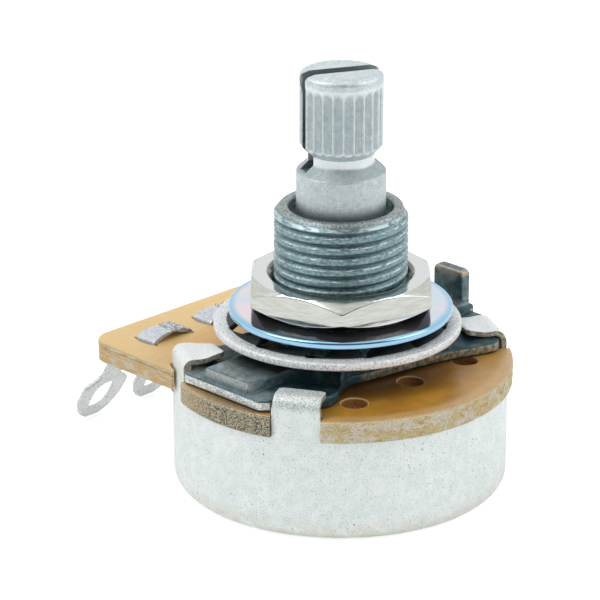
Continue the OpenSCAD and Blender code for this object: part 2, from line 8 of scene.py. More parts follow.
import bpy
import numpy as np
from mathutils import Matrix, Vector


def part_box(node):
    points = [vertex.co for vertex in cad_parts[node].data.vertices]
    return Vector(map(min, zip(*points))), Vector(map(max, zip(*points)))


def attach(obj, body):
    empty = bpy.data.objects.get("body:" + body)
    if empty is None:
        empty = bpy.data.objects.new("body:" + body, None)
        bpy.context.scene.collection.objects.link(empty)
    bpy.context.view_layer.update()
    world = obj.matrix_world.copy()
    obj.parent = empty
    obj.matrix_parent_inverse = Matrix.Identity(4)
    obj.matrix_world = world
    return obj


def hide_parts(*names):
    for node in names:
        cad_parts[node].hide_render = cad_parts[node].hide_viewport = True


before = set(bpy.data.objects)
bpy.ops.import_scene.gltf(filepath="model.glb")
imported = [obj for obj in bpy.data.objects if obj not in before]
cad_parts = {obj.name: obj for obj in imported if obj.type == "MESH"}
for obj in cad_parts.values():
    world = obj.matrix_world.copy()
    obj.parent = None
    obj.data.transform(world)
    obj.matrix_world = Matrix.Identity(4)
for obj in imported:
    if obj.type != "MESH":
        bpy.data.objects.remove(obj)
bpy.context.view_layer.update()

MM = 0.001
SHARP_DEG = 34


def span(node):
    """Lowest and highest corner of a solid of the frame, in millimetres."""
    low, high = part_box(node)
    return np.array(low) / MM, np.array(high) / MM


# Places and sizes taken from the frame
cover_low = span("cover")[0]
board_low, board_high = span("element_board")
plate_low, plate_high = span("bushing_plate")
lock_low, lock_high = span("lock_washer")
dress_low, dress_high = span("dress_washer")
nut_low, nut_high = span("mounting_nut")
shaft_low, shaft_high = span("shaft")
lug_low = span("terminal_centre")[0]
hub_low, hub_high = span("rotor")

CAN_R = -cover_low[1]
BOARD_Z = board_low[2]
PLATE_Z = board_high[2]
BOARD_R = -board_low[1]
BOARD_END_Y = board_high[1]
BUSHING_Z = plate_high[2]
SHAFT_TOP = shaft_high[2]
PITCH_X = (span("terminal_right")[0][0] - span("terminal_left")[0][0]) / 2

# Can and tabs
SHEET = 0.6
TAB_SHEET = 0.42
CAN_EDGE_R = 1.1
TAB_DEG = (29.5, 150.5, 209.5, 330.5)
TAB_LOW_W = 3.5
TAB_W = 3.36
TAB_SEAT_R = CAN_R - SHEET - 0.2
WINDOW_HALF = 8.5
WINDOW_DEPTH = 0.9

# Board
BOARD_HALF_W = 10.35
BOARD_CORNER_R = 1.6
BOARD_HOLE_R = 4.7
PIT_R = 0.9
PIT_DEPTH = 0.7
PIT_Y = -6.9

# Plate and bushing
FLANGE_T = 0.9
RIB_H = 0.8
FLANGE_Z = PLATE_Z + FLANGE_T
BOSS_Z = FLANGE_Z + RIB_H
PLATE_HALF_L = -plate_low[0]
BOSS_R = 6.9
BLEND_R = 2.0
RIB_HALF_W = 2.15
RIB_END = PLATE_HALF_L - 0.35
THREAD_R = 4.7625
THREAD_PITCH = 25.4 / 32
SHAFT_R = 3.175
BORE_R = SHAFT_R + 0.03
MOUTH_R = 3.65

# Washer
LOCK_CENTRE = (lock_low + lock_high) / 2
LOCK_R = (lock_high[0] - lock_low[0]) / 2
LOCK_RIM_W = 1.0

# Terminals
TERMINAL_T = 0.4
PRONG_HALF = 1.95
PRONG_SHIFT_X = -0.5
PRONG_Y = (10.9, 12.8)
PRONG_ARCH = 0.55
LUG_SLOPE = 58
LUG_BEND_R = 0.8
LUG_NECK_W = 1.7

# Shaft
SHOULDER_Z = BUSHING_Z + 2.55
NECK_Z = SHOULDER_Z + 0.75
KNURL_FOOT_Z = NECK_Z + 0.6
KNURL_Z = KNURL_FOOT_Z + 0.65
KNURL_END_Z = SHAFT_TOP - 0.45
FLUTE_TOP_Z = SHAFT_TOP - 0.8
NECK_R = 2.35
KNURL_R = 2.95
FLUTES = 24
FLUTE_DEPTH = 0.2
SLOT_W = 1.05
SLOT_DEG = -27
SLOT_SHIFT = -0.12
SLOT_Z = SHOULDER_Z + 0.2


# Numbers and curves


def ease(x, low=0.0, high=1.0):
    """Rises smoothly from 0 at low to 1 at high, level at both ends."""
    t = np.clip((x - low) / (high - low), 0, 1)
    return t * t * (3 - 2 * t)


def plateau(x, low, high, soft):
    """1 between low and high, easing to 0 at both within the width soft."""
    return ease(x, low, low + soft) * (1 - ease(x, high - soft, high))


def ripple(u, v, size, seed, waves=7):
    """Gentle unevenness of about -1 to 1: a sum of sine waves of like length in random directions."""
    rng = np.random.default_rng(seed)
    total = 0
    for _ in range(waves):
        turn_a, phase = rng.uniform(0, 2 * math.pi, 2)
        length = size * rng.uniform(0.7, 1.6)
        total = total + np.sin((u * math.cos(turn_a) + v * math.sin(turn_a)) * 2 * math.pi / length + phase)
    return total * 1.5 / waves


def arc(centre, radius, from_deg, to_deg, parts=8):
    """Points on a circle from one angle to another."""
    t = np.radians(np.linspace(from_deg, to_deg, parts + 1))
    return np.stack([centre[0] + radius * np.cos(t), centre[1] + radius * np.sin(t)], 1)


def join(*stretches):
    """One path out of several stretches of points, without repeats."""
    points = np.concatenate([np.atleast_2d(np.asarray(s, float)) for s in stretches])
    step = np.hypot(*np.diff(points, axis=0).T)
    return points[np.r_[True, step > 1e-6]]


def rounded(corners, radius, closed=True, parts=6):
    """Rounds each corner of a path with an arc that touches both of its sides."""
    corners = np.asarray(corners, float)
    radii = np.broadcast_to(radius, len(corners))
    out = []
    for i, (point, r) in enumerate(zip(corners, radii)):
        if r <= 0 or (not closed and i in (0, len(corners) - 1)):
            out.append(point[None])
            continue
        back, ahead = corners[i - 1] - point, corners[(i + 1) % len(corners)] - point
        long_a, long_b = np.hypot(*back), np.hypot(*ahead)
        back, ahead = back / long_a, ahead / long_b
        half = math.acos(np.clip(-(back @ ahead), -1, 1)) / 2
        if half < 0.01:
            out.append(point[None])
            continue
        reach = min(r * math.tan(half), 0.49 * long_a, 0.49 * long_b)
        middle = (back + ahead) / np.hypot(*(back + ahead))
        r = reach / math.tan(half)
        centre = point + middle * math.hypot(r, reach)
        t = np.linspace(0, 1, parts + 1)[:, None]
        from_c, to_c = point + back * reach - centre, point + ahead * reach - centre
        out.append(centre + (np.sin((1 - t) * 2 * half) * from_c + np.sin(t * 2 * half) * to_c)
                   / math.sin(2 * half))
    return join(*out)


def refine(points, step, closed=False):
    """Adds points to a path so that none are further apart than step; its own points stay."""
    ends = np.concatenate([points, points[:1]]) if closed else points
    parts = np.maximum(1, np.ceil(np.hypot(*np.diff(ends, axis=0).T) / step)).astype(int)
    start = np.repeat(np.arange(len(parts)), parts)
    within = (np.arange(parts.sum()) - np.repeat(np.cumsum(parts) - parts, parts)) / parts[start]
    out = ends[start] + (ends[start + 1] - ends[start]) * within[:, None]
    return out if closed else np.concatenate([out, ends[-1:]])


def outward(loop):
    """Unit normals of a closed path that runs anticlockwise, from the points on either side."""
    along = np.roll(loop, -1, 0) - np.roll(loop, 1, 0)
    normal = np.stack([along[:, 1], -along[:, 0]], 1)
    return normal / np.hypot(*normal.T)[:, None]


def rectangle(x_low, x_high, y_low, y_high):
    """Corners of a rectangle, anticlockwise."""
    return np.array([[x_low, y_low], [x_high, y_low], [x_high, y_high], [x_low, y_high]], float)


def polar(loop, angles):
    """Radius of a star-shaped closed path at the given angles."""
    a = np.arctan2(loop[:, 1], loop[:, 0])
    order = np.argsort(a)
    return np.interp(angles, a[order], np.hypot(*loop.T)[order], period=2 * math.pi)


# Surfaces


def skin(points, wrap_rows=False, finish=0):
    """Closed skin over a grid of points (rows, columns, 3). Each row is a closed loop.

    The last row joins the first where wrap_rows is true; otherwise each end row is closed by a fan to its
    middle. The faces are turned outwards by the sign of the enclosed volume. The finish is one number, or
    one for each row or column of faces, and the fans take the highest.
    """
    rows, cols = points.shape[:2]
    verts = points.reshape(-1, 3)
    i = np.arange(rows if wrap_rows else rows - 1)[:, None]
    j = np.arange(cols)[None]
    here, above, right = i * cols, (i + 1) % rows * cols, (j + 1) % cols
    quads = np.stack([here + j, here + right, above + right, above + j], -1).reshape(-1, 4)
    fans = np.zeros((0, 3), int)
    if not wrap_rows:
        foot, last = len(verts), (rows - 1) * cols
        verts = np.concatenate([verts, [points[0].mean(0), points[-1].mean(0)]])
        j = j[0]
        fans = np.concatenate([
            np.stack([np.full(cols, foot), (j + 1) % cols, j], -1),
            np.stack([np.full(cols, foot + 1), last + j, last + (j + 1) % cols], -1),
        ])
    a, b, c = verts[np.concatenate([quads[:, :3], quads[:, [0, 2, 3]], fans])].transpose(1, 0, 2)
    if np.einsum("ij,ij->", a, np.cross(b, c)) < 0:
        quads, fans = quads[:, ::-1], fans[:, ::-1]
    marks = np.broadcast_to(finish, (len(i), cols)).ravel()
    return verts, quads, fans, np.concatenate([marks, np.full(len(fans), marks.max())])


def round_axis(r, z, angles):
    """Points at a radius and a height, for each angle round the shaft's axis."""
    return np.stack([r * np.cos(angles), r * np.sin(angles), z + 0 * angles], -1)


def turned(profile, angles):
    """Carries a profile of (radius, height) round the shaft's axis; row i keeps the profile's point i."""
    r, z = np.asarray(profile, float).T[..., None]
    return round_axis(r, z, angles)


def slab(loop, low, high, edge, parts=4):
    """Rows of a plate on a closed path; by each face the path moves in while the side rounds over."""
    t = np.linspace(0, math.pi / 2, parts + 1)
    inset = edge * (1 - np.sin(t))
    rise = edge * (1 - np.cos(t))
    inset = np.concatenate([inset, inset[::-1]])[:, None, None]
    z = np.concatenate([low + rise, high - rise[::-1]])[:, None, None]
    flat = loop - outward(loop) * inset
    return np.concatenate([flat, z + 0 * flat[..., :1]], -1)


def prism(loop, low, high):
    """Rows of an upright prism: one closed plan at two heights."""
    z = np.array([low, high])[:, None, None] + np.zeros((2, len(loop), 1))
    return np.concatenate([np.broadcast_to(loop, (2, *loop.shape)), z], -1)


def bend(path, along, lift):
    """Point at a distance along a path, lifted off it along its left normal."""
    step = np.hypot(*np.diff(path, axis=0).T)
    total = np.r_[0, np.cumsum(step)]
    tangent = np.gradient(path, total, axis=0)
    tangent /= np.hypot(*tangent.T)[:, None]
    x, y, tx, ty = (np.interp(along, total, a) for a in (*path.T, *tangent.T))
    over = np.minimum(along, 0) + np.maximum(along - total[-1], 0)
    return x + over * tx - lift * ty, y + over * ty + lift * tx


def length(path):
    """Length of a path."""
    return np.hypot(*np.diff(path, axis=0).T).sum()


def spin(points, degrees):
    """Turns points round the shaft's axis."""
    c, s = math.cos(math.radians(degrees)), math.sin(math.radians(degrees))
    return points @ np.array([[c, s, 0], [-s, c, 0], [0, 0, 1]])


def full_turn(count):
    """Angles all the way round, evenly spaced."""
    return np.arange(count) * 2 * math.pi / count


def mesh_object(name, skins, finishes=()):
    """A Blender object made of closed skins, smooth but for edges sharper than SHARP_DEG."""
    offsets = np.cumsum([0] + [len(s[0]) for s in skins])
    faces = [f for s, o in zip(skins, offsets) for part in s[1:3] for f in (part + o).tolist()]
    marks = np.concatenate([s[3] for s in skins])
    mesh = bpy.data.meshes.new(name)
    mesh.from_pydata((np.concatenate([s[0] for s in skins]) * MM).tolist(), [], faces)
    for finish in finishes:
        mesh.materials.append(finish)
    mesh.polygons.foreach_set("material_index", marks.astype(np.int32))
    smooth(mesh)
    made = bpy.data.objects.new(name, mesh)
    bpy.context.scene.collection.objects.link(made)
    return made


def smooth(mesh):
    """Smooth shading with sharp edges."""
    mesh.polygons.foreach_set("use_smooth", np.ones(len(mesh.polygons), bool))
    mesh.set_sharp_from_angle(angle=math.radians(SHARP_DEG))
    mesh.update()


def carve(made, skins):
    """Cuts closed skins out of an object and keeps the result as its mesh."""
    cutter = mesh_object("cutter", skins, made.data.materials)
    cut = made.modifiers.new("cut", "BOOLEAN")
    cut.operation, cut.solver, cut.object = "DIFFERENCE", "EXACT", cutter
    cut.use_self = True
    whole = made.data
    made.data = bpy.data.meshes.new_from_object(made.evaluated_get(bpy.context.evaluated_depsgraph_get()))
    made.modifiers.clear()
    smooth(made.data)
    bpy.data.objects.remove(cutter)
    bpy.data.meshes.remove(whole)


def settle(made, body, slot, *nodes):
    """Puts a finished piece on its body in place of the plain solids."""
    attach(made, body)
    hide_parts(*nodes)


# Patterns of the finishes


def tone(code):
    """Linear colour of a six-digit screen colour."""
    channels = np.array([int(code[i:i + 2], 16) for i in (0, 2, 4)]) / 255
    linear = np.where(channels <= 0.04045, channels / 12.92, ((channels + 0.055) / 1.055) ** 2.4)
    return (*linear.tolist(), 1.0)


class Nodes:
    """Short words for filling a node tree."""

    def __init__(self, tree):
        self.tree = tree
        tree.nodes.clear()

    def node(self, kind, *values, **settings):
        """Adds a node; values fill its first sockets and may be numbers, colours or other nodes' outputs."""
        made = self.tree.nodes.new(kind)
        for key, value in settings.items():
            setattr(made, key, value)
        for socket, value in zip(made.inputs, values):
            self.plug(socket, value)
        return made

    def plug(self, socket, value):
        """Sets or links one socket. A colour may be given by its six-digit code."""
        if isinstance(value, bpy.types.NodeSocket):
            self.tree.links.new(value, socket)
        elif value is not None:
            socket.default_value = tone(value) if isinstance(value, str) else value

    def math(self, operation, a, b=0.0):
        """One arithmetic step."""
        return self.node("ShaderNodeMath", a, b, operation=operation).outputs[0]

    def times(self, a, b):
        """Product of two values."""
        return self.math("MULTIPLY", a, b)

    def distance(self, x, y):
        """Length of the flat vector (x, y)."""
        return self.math("SQRT", self.math("ADD", self.times(x, x), self.times(y, y)))

    def ramp(self, value, low, high, to_low=0.0, to_high=1.0):
        """Maps low..high smoothly to to_low..to_high."""
        return self.node(
            "ShaderNodeMapRange", value, low, high, to_low, to_high, interpolation_type="SMOOTHSTEP",
        ).outputs[0]

    def band(self, value, low, high, soft):
        """1 between low and high, fading within soft to either side."""
        return self.times(self.ramp(value, low - soft, low + soft),
                          self.ramp(value, high - soft, high + soft, 1.0, 0.0))

    def split(self, vector):
        """The three parts of a vector."""
        return self.node("ShaderNodeSeparateXYZ", vector).outputs

    def by_ray(self, direct, mirrored, otherwise):
        """Level for rays from the camera or through glass, for those off gloss, and for the rest."""
        rays = self.node("ShaderNodeLightPath").outputs
        straight = self.math("MAXIMUM", rays["Is Camera Ray"], rays["Is Transmission Ray"])
        glossy = self.math("MAXIMUM", self.math("SUBTRACT", rays["Is Glossy Ray"], straight), 0.0)
        rest = self.math("SUBTRACT", self.math("SUBTRACT", 1.0, straight), glossy)
        total = self.math("ADD", self.times(straight, direct), self.times(glossy, mirrored))
        return self.math("ADD", total, self.times(rest, otherwise))


class Finish(Nodes):
    """A procedural material on one Principled shader, with patterns measured in millimetres."""

    def __init__(self, name, **shader_values):
        self.material = bpy.data.materials.new(name)
        self.material.use_nodes = True
        super().__init__(self.material.node_tree)
        self.shader = self.node("ShaderNodeBsdfPrincipled")
        self.node("ShaderNodeOutputMaterial", self.shader.outputs[0])
        self.object_coordinates = self.node("ShaderNodeTexCoord").outputs["Object"]
        self.facing = self.node("ShaderNodeNewGeometry").outputs["Normal"]
        self.set(**shader_values)

    def set(self, **values):
        """Sets or links the shader's sockets, named with underscores for spaces."""
        for key, value in values.items():
            self.plug(self.shader.inputs[key.replace("_", " ")], value)

    def place(self, stretch=(1, 1, 1), turn_deg=(0, 0, 0), shift=(0, 0, 0)):
        """Object coordinates in millimetres, shrunk along an axis where a pattern is long there."""
        return self.node(
            "ShaderNodeMapping", self.object_coordinates, tuple(shift),
            tuple(math.radians(a) for a in turn_deg), tuple(s / MM for s in stretch),
        ).outputs[0]

    def grain(self, size, stretch=(1, 1, 1), detail=3.0, rough=0.6, seed=0.0, vector=None):
        """Cloudy pattern of about the given size, 0 to 1 round a middle of 0.5."""
        made = self.node("ShaderNodeTexNoise")
        self.plug(made.inputs["Vector"], vector or self.place(stretch, shift=(seed, -seed, seed / 2)))
        for socket, value in (("Scale", 1 / size), ("Detail", detail), ("Roughness", rough)):
            made.inputs[socket].default_value = value
        return made.outputs[0]

    def mix(self, factor, a, b):
        """Colour between a and b."""
        made = self.node("ShaderNodeMix", factor, data_type="RGBA")
        self.plug(made.inputs[6], a)
        self.plug(made.inputs[7], b)
        return made.outputs[2]

    def over(self, base, colour, mask, amount):
        """Lays a colour over a base where the mask is high, at most by the given amount."""
        return self.mix(self.times(mask, amount), base, colour)

    def radius(self):
        """Distance from the shaft's axis in millimetres."""
        x, y, _ = self.split(self.place())
        return self.distance(x, y)

    def height(self):
        """Height above the can's back in millimetres."""
        return self.split(self.place())[2]

    def relief(self, height, depth, below=None):
        """Bump of a depth in millimetres."""
        made = self.node("ShaderNodeBump")
        made.inputs["Distance"].default_value = depth * MM
        made.inputs["Strength"].default_value = 1.0
        self.plug(made.inputs["Height"], height)
        self.plug(made.inputs["Normal"], below)
        return made.outputs[0]


# Finishes


def tinned_can():
    """Pale matte tin plate: fine dark specks, faint clouds, whiter tabs, the nearest rubbed, a warm foot."""
    f = Finish("tinned_can", Metallic=0.5, Roughness=0.46)
    height = f.height()
    clouds = f.ramp(f.grain(0.9, detail=5), 0.35, 0.68)
    fine = f.grain(0.1, detail=3, rough=0.8)
    specks = f.ramp(fine, 0.55, 0.67)
    rare = f.times(f.ramp(f.grain(0.16, stretch=(1, 1, 0.6), detail=1, seed=4), 0.69, 0.75),
                  f.ramp(f.grain(1.9, seed=9), 0.46, 0.6))
    foot = f.times(f.ramp(height, 2.1, 0.4), f.ramp(f.grain(0.7, seed=3), 0.34, 0.6))
    base = f.mix(clouds, "e7f1ef", "f3f9f8")
    base = f.mix(f.ramp(height, FLANGE_Z, FLANGE_Z + 0.3), base, "f4f8f8")
    base = f.over(base, "dfddcc", foot, 0.7)
    base = f.over(base, "949f9e", specks, 0.75)
    x, y, _ = f.split(f.place())
    nearest_tab = f.ramp(f.math("ADD", x, y), -9.0, -11.0, 0.1, 1.0)
    rubbed = f.times(f.ramp(height, FLANGE_Z - 0.6, FLANGE_Z - 0.05), nearest_tab)
    worn = f.times(rubbed, f.ramp(fine, 0.4, 0.6))
    base = f.over(base, "7f8886", worn, 0.6)
    base = f.over(base, "595d5b", rare, 0.85)
    f.set(Base_Color=base, Roughness=f.ramp(f.grain(0.3, seed=2), 0.3, 0.7, 0.36, 0.56))
    f.set(Normal=f.relief(f.grain(0.16, detail=4, rough=0.75), 0.05))
    return f.material


def sheared_tin():
    """Cut edges of the can's sheet: bare, dull and brownish."""
    f = Finish("sheared_tin", Metallic=0.5, Roughness=0.5)
    base = f.mix(f.ramp(f.grain(0.2, detail=4, rough=0.75), 0.36, 0.64), "7d7868", "cbc9ba")
    f.set(Base_Color=base)
    f.set(Normal=f.relief(f.grain(0.12, detail=4), 0.05))
    return f.material


def laminate():
    """Honey-amber board: satin top with painted shade beside the plate and on a strip by the flange's left
    end, and sides of torn paper layers in speckled beige.
    """
    f = Finish("laminate", Roughness=0.36, IOR=1.5)
    x, y, z = f.split(f.place())
    radius = f.radius()
    up = f.split(f.facing)[2]
    steep = f.ramp(f.math("ABSOLUTE", up), 0.8, 0.45)
    side = f.times(steep, f.ramp(radius, 9.8, 10.3))
    wing = f.ramp(y, -1.0, 7.5)
    right = f.times(f.ramp(x, 1.5, 10.0), 0.8)
    clouds = f.ramp(f.grain(2.4, detail=4), 0.35, 0.7)
    front = f.mix(right, f.mix(clouds, "a4742a", "bb8830"), "c99e55")
    far = f.mix(f.ramp(y, 12.5, 7.0), "efc372", "dba652")
    far = f.over(far, "e6b65e", clouds, 0.4)
    # Painted shade: the board top turns dark brown next to the plate, where the plate's shadow falls.
    shade = f.times(f.ramp(radius, 9.6, 6.6), f.ramp(x, 9.0, 3.0, 0.35, 0.9))
    front = f.mix(shade, front, "6a4310")
    # Painted shade: a dark brown strip of board top beside the flange's left end, under its edge.
    strip = f.times(f.band(y, -3.4, 4.0, 0.3), f.ramp(x, -10.9, -11.4))
    front = f.over(front, "6e4612", strip, 0.95)
    top = f.mix(wing, front, far)
    streaks = f.grain(0.4, stretch=(0.12, 1, 1), detail=3, seed=2)
    top = f.mix(f.ramp(streaks, 0.52, 0.8, 0.0, 0.2), top, "9a6520")
    nearest = f.times(f.math("ROUND", f.math("DIVIDE", x, PITCH_X)), PITCH_X)
    from_pit_x, from_pit_y = f.math("SUBTRACT", x, nearest), f.math("SUBTRACT", y, PIT_Y)
    from_pit = f.distance(from_pit_x, from_pit_y)
    top = f.mix(f.times(f.band(from_pit, PIT_R + 0.05, PIT_R + 0.12, 0.04), 0.8), top, "e6c79a")
    weave = f.grain(0.13, stretch=(1, 1, 1.3), detail=4, rough=0.85, seed=5)
    pit = f.ramp(from_pit, PIT_R + 0.03, PIT_R - 0.05)
    top = f.mix(pit, top, f.mix(f.ramp(weave, 0.4, 0.6), "6e4520", "a0703f"))
    specks = f.ramp(weave, 0.46, 0.58)
    patches = f.ramp(f.grain(1.3, stretch=(1, 1, 1.6), seed=7), 0.46, 0.56)
    pale = f.mix(patches, "f4e3b0", "fffae6")
    ochre = f.ramp(f.grain(0.5, stretch=(1, 1, 2), seed=13), 0.54, 0.66)
    pale = f.over(pale, "c99c5a", ochre, 0.6)
    grey = f.mix(f.ramp(weave, 0.46, 0.54), "4a4230", "dad2b6")
    under_plate = f.ramp(x, -9.7, -10.4)
    dots = f.math("SUBTRACT", 1.0, specks)
    torn = f.mix(under_plate, f.mix(f.times(dots, 0.42), pale, "a47c42"), grey)
    lines = f.ramp(f.grain(0.7, stretch=(0.5, 0.5, 3), seed=1), 0.45, 0.6)
    warm = f.mix(lines, "f0cf94", "f5edd6")
    warm = f.over(warm, "b0854a", dots, 0.3)
    torn = f.mix(wing, torn, warm)
    edge = f.times(f.band(z, PLATE_Z - 0.2, PLATE_Z, 0.06), f.ramp(radius, 11.0, 11.8))
    base = f.mix(side, top, torn)
    base = f.mix(f.times(edge, f.times(f.ramp(weave, 0.4, 0.5), 0.5)), base, "eadfbd")
    split = f.times(f.band(z, PLATE_Z - 0.45, PLATE_Z - 0.39, 0.03), f.times(side, wing))
    base = f.over(base, "6f5a3a", split, 0.6)
    f.set(Base_Color=base, Roughness=f.ramp(f.math("MAXIMUM", side, pit), 0, 1, 0.3, 0.8))
    rough_side = f.times(weave, side)
    f.set(Normal=f.relief(rough_side, 0.12, f.relief(f.grain(1.8, detail=2), 0.03)))
    return f.material


def dark_zinc():
    """Cast and passivated zinc: blue-grey with paler worn edges and brownish sides; painted shade and
    reflection darken it towards the washers and, but at the left end, to dark teal below the boss top, and
    painted shade darkens its slopes and the foot of its sides.
    """
    f = Finish("dark_zinc", Metallic=0.75, Roughness=0.42)
    radius, height = f.radius(), f.height()
    x, y, _ = f.split(f.place())
    _, facing_y, up = f.split(f.facing)
    level = f.math("ABSOLUTE", up)
    clouds = f.ramp(f.grain(0.9, detail=5, rough=0.7), 0.34, 0.68)
    base = f.mix(clouds, "5f7074", "97a5a6")
    # Painted shade and reflection: the plate darker towards the middle, under the washers.
    base = f.mix(f.ramp(radius, 10.4, 8.4, 0.0, 0.75), base, "3c4a4e")
    # Painted shade and reflection: everything below the boss top turns dark teal, except at the left end.
    hollow = f.times(f.ramp(height, BOSS_Z - 0.1, BOSS_Z - 0.3), f.ramp(x, -10.6, -9.2))
    base = f.mix(f.times(hollow, 0.95), base, f.mix(clouds, "1a3d46", "3b6069"))
    # Painted shade: surfaces between flat and upright darker.
    slope = f.band(level, 0.2, 0.9, 0.08)
    base = f.over(base, "304f58", slope, 0.6)
    upright = f.ramp(level, 0.35, 0.15)
    frost = f.mix(f.ramp(f.grain(0.16, detail=4, rough=0.8, seed=5), 0.35, 0.62), "9fabaa", "eef2f0")
    frost = f.mix(f.ramp(height, FLANGE_Z - 0.05, FLANGE_Z + 0.1, 0.0, 0.55), frost, "6f7573")
    base = f.mix(f.times(upright, f.ramp(x, -10.5, -10.9)), base, frost)
    low_wall = f.times(upright, f.ramp(height, FLANGE_Z + 0.1, FLANGE_Z))
    long_side = f.times(f.times(low_wall, f.ramp(facing_y, -0.55, -0.8)), f.ramp(x, -3.5, -2.0))
    earth = f.mix(f.ramp(f.grain(0.3, detail=4, seed=9), 0.38, 0.62), "6f6857", "b1ab99")
    blade = f.times(f.ramp(height, BOSS_Z, BOSS_Z + 0.2), f.ramp(radius, 8.0, 9.0))
    base = f.mix(f.times(blade, 0.7), base, f.mix(clouds, "34505a", "60808a"))
    base = f.mix(long_side, base, earth)
    # Painted shade: the foot of each upright side dark, where the plate sits on the board.
    painted_foot_shade = f.times(f.ramp(height, PLATE_Z + 0.25, PLATE_Z + 0.12), upright)
    base = f.over(base, "2a2a26", painted_foot_shade, 0.7)
    worn = f.times(f.ramp(height, BOSS_Z + 0.2, BOSS_Z + 0.6), f.band(level, 0.08, 0.96, 0.04))
    base = f.over(base, "b3a797", worn, 0.8)
    brown = f.times(f.ramp(f.grain(0.5, stretch=(1, 1, 2), seed=8), 0.5, 0.68), 0.4)
    base = f.mix(brown, base, "7b7064")
    pores = f.ramp(f.grain(0.1, detail=2, rough=0.7, seed=3), 0.66, 0.76)
    base = f.over(base, "23292d", pores, 0.6)
    f.set(Base_Color=base, Roughness=f.ramp(f.grain(0.5, seed=6), 0.3, 0.7, 0.3, 0.5))
    f.set(Normal=f.relief(f.grain(0.25, detail=5, rough=0.7), 0.035))
    return f.material


def thread_zinc():
    """Threaded zinc: teal flanks, a broken painted highlight along the crests with a painted shadow line
    under each, painted shade in the roots and the bore, and a brownish rounded mouth.
    """
    f = Finish("thread_zinc", Metallic=0.8, Roughness=0.36)
    radius, height = f.radius(), f.height()
    x, y, _ = f.split(f.place())
    turns = f.math("DIVIDE", f.math("ARCTAN2", y, x), 2 * math.pi)
    phase = f.math("FRACT", f.math("SUBTRACT", f.math("DIVIDE", height, THREAD_PITCH), turns))
    flank = f.mix(f.ramp(f.grain(0.3, stretch=(1, 1, 2), detail=4, rough=0.7), 0.35, 0.68),
                  "66838a", "a0b7ba")
    # Painted highlight: a bright line along the lower edge of each crest, broken up by a worn pattern; the
    # metallic drops there so that it renders white.
    worn = f.ramp(f.grain(0.6, stretch=(1, 1, 5), detail=4, rough=0.75, seed=4), 0.47, 0.6)
    crest = f.times(f.band(phase, 0.2, 0.28, 0.02), worn)
    base = f.mix(crest, flank, "eaf2f2")
    # Painted shade: a dark line under each crest.
    base = f.mix(f.times(f.band(phase, 0.66, 0.72, 0.03), 0.35), base, "394c51")
    # Painted shade: darker down in the thread's roots.
    painted_root_shade = f.ramp(radius, THREAD_R - 0.12, THREAD_R - 0.22)
    base = f.over(base, "42585e", painted_root_shade, 0.55)
    mouth = f.ramp(height, BUSHING_Z - 0.35, BUSHING_Z - 0.12)
    rim = f.mix(f.ramp(f.grain(0.16, detail=4, rough=0.7, seed=1), 0.38, 0.64), "757e7e", "b7bfbf")
    rim = f.mix(f.band(radius, MOUTH_R + 0.02, MOUTH_R + 0.1, 0.03), rim, "dfe5e5")
    base = f.mix(mouth, base, rim)
    dashes = f.times(f.band(height, BUSHING_Z - 0.66, BUSHING_Z - 0.3, 0.08),
                    f.ramp(f.grain(0.7, stretch=(1, 1, 4), detail=4, seed=12), 0.42, 0.52))
    base = f.over(base, "c3d6d9", dashes, 0.85)
    # Painted shade: the bore inside the mouth near black.
    bore = f.times(f.ramp(radius, MOUTH_R + 0.02, MOUTH_R - 0.02), 0.7)
    base = f.mix(bore, base, "2d3335")
    f.set(Base_Color=base, Metallic=f.ramp(crest, 0.0, 1.0, 0.8, 0.15))
    f.set(Roughness=f.ramp(f.grain(0.3, seed=6), 0.3, 0.7, 0.28, 0.5))
    f.set(Normal=f.relief(f.grain(0.16, stretch=(1, 1, 3), detail=4, rough=0.7), 0.03))
    return f.material


def tinned_terminal():
    """Bright tin over brass, softly clouded, with a faint lavender tint."""
    f = Finish("tinned_terminal", Metallic=0.35, Roughness=0.34)
    clouds = f.ramp(f.grain(1.4, detail=3), 0.35, 0.68)
    base = f.mix(clouds, "e4e9e9", "f0f4f4")
    prong = f.ramp(f.height(), PLATE_Z - 0.05, PLATE_Z)
    streaks = f.ramp(f.grain(0.14, stretch=(0.3, 1, 1), detail=2, seed=7), 0.4, 0.62)
    base = f.mix(prong, base, f.mix(streaks, "c2c8d4", "dce1e8"))
    scratch = f.ramp(f.grain(0.09, stretch=(1, 0.1, 1), detail=2, seed=3), 0.68, 0.8)
    base = f.over(base, "9b9ca6", scratch, 0.25)
    f.set(Base_Color=base, Roughness=f.ramp(f.grain(0.4, seed=5), 0.3, 0.7, 0.24, 0.4))
    f.set(Normal=f.relief(f.grain(0.2, detail=4), 0.012))
    return f.material


def cut_terminal():
    """Stamped edges of the solder lugs, dull grey with faint upright score lines."""
    f = Finish("cut_terminal", Metallic=0.4, Roughness=0.45)
    base = f.mix(f.ramp(f.grain(0.12, detail=3), 0.36, 0.64), "bcc3c5", "e6eaea")
    f.set(Base_Color=base)
    f.set(Normal=f.relief(f.grain(0.08, stretch=(1, 1, 0.2), detail=3), 0.02))
    return f.material


def torn_tin():
    """Bright crumpled tin at the torn ends of the prongs, with painted shade in the low parts of its
    crumples.
    """
    f = Finish("torn_tin", Metallic=0.8, Roughness=0.28)
    folds_and_painted_shade = f.grain(0.14, detail=3, rough=0.7)
    # Painted shade: the low parts of the crumples dark grey, the high parts white; the same pattern gives the
    # relief.
    f.set(Base_Color=f.mix(f.ramp(folds_and_painted_shade, 0.38, 0.62), "777a84", "f4f5f6"))
    f.set(Normal=f.relief(folds_and_painted_shade, 0.2))
    return f.material


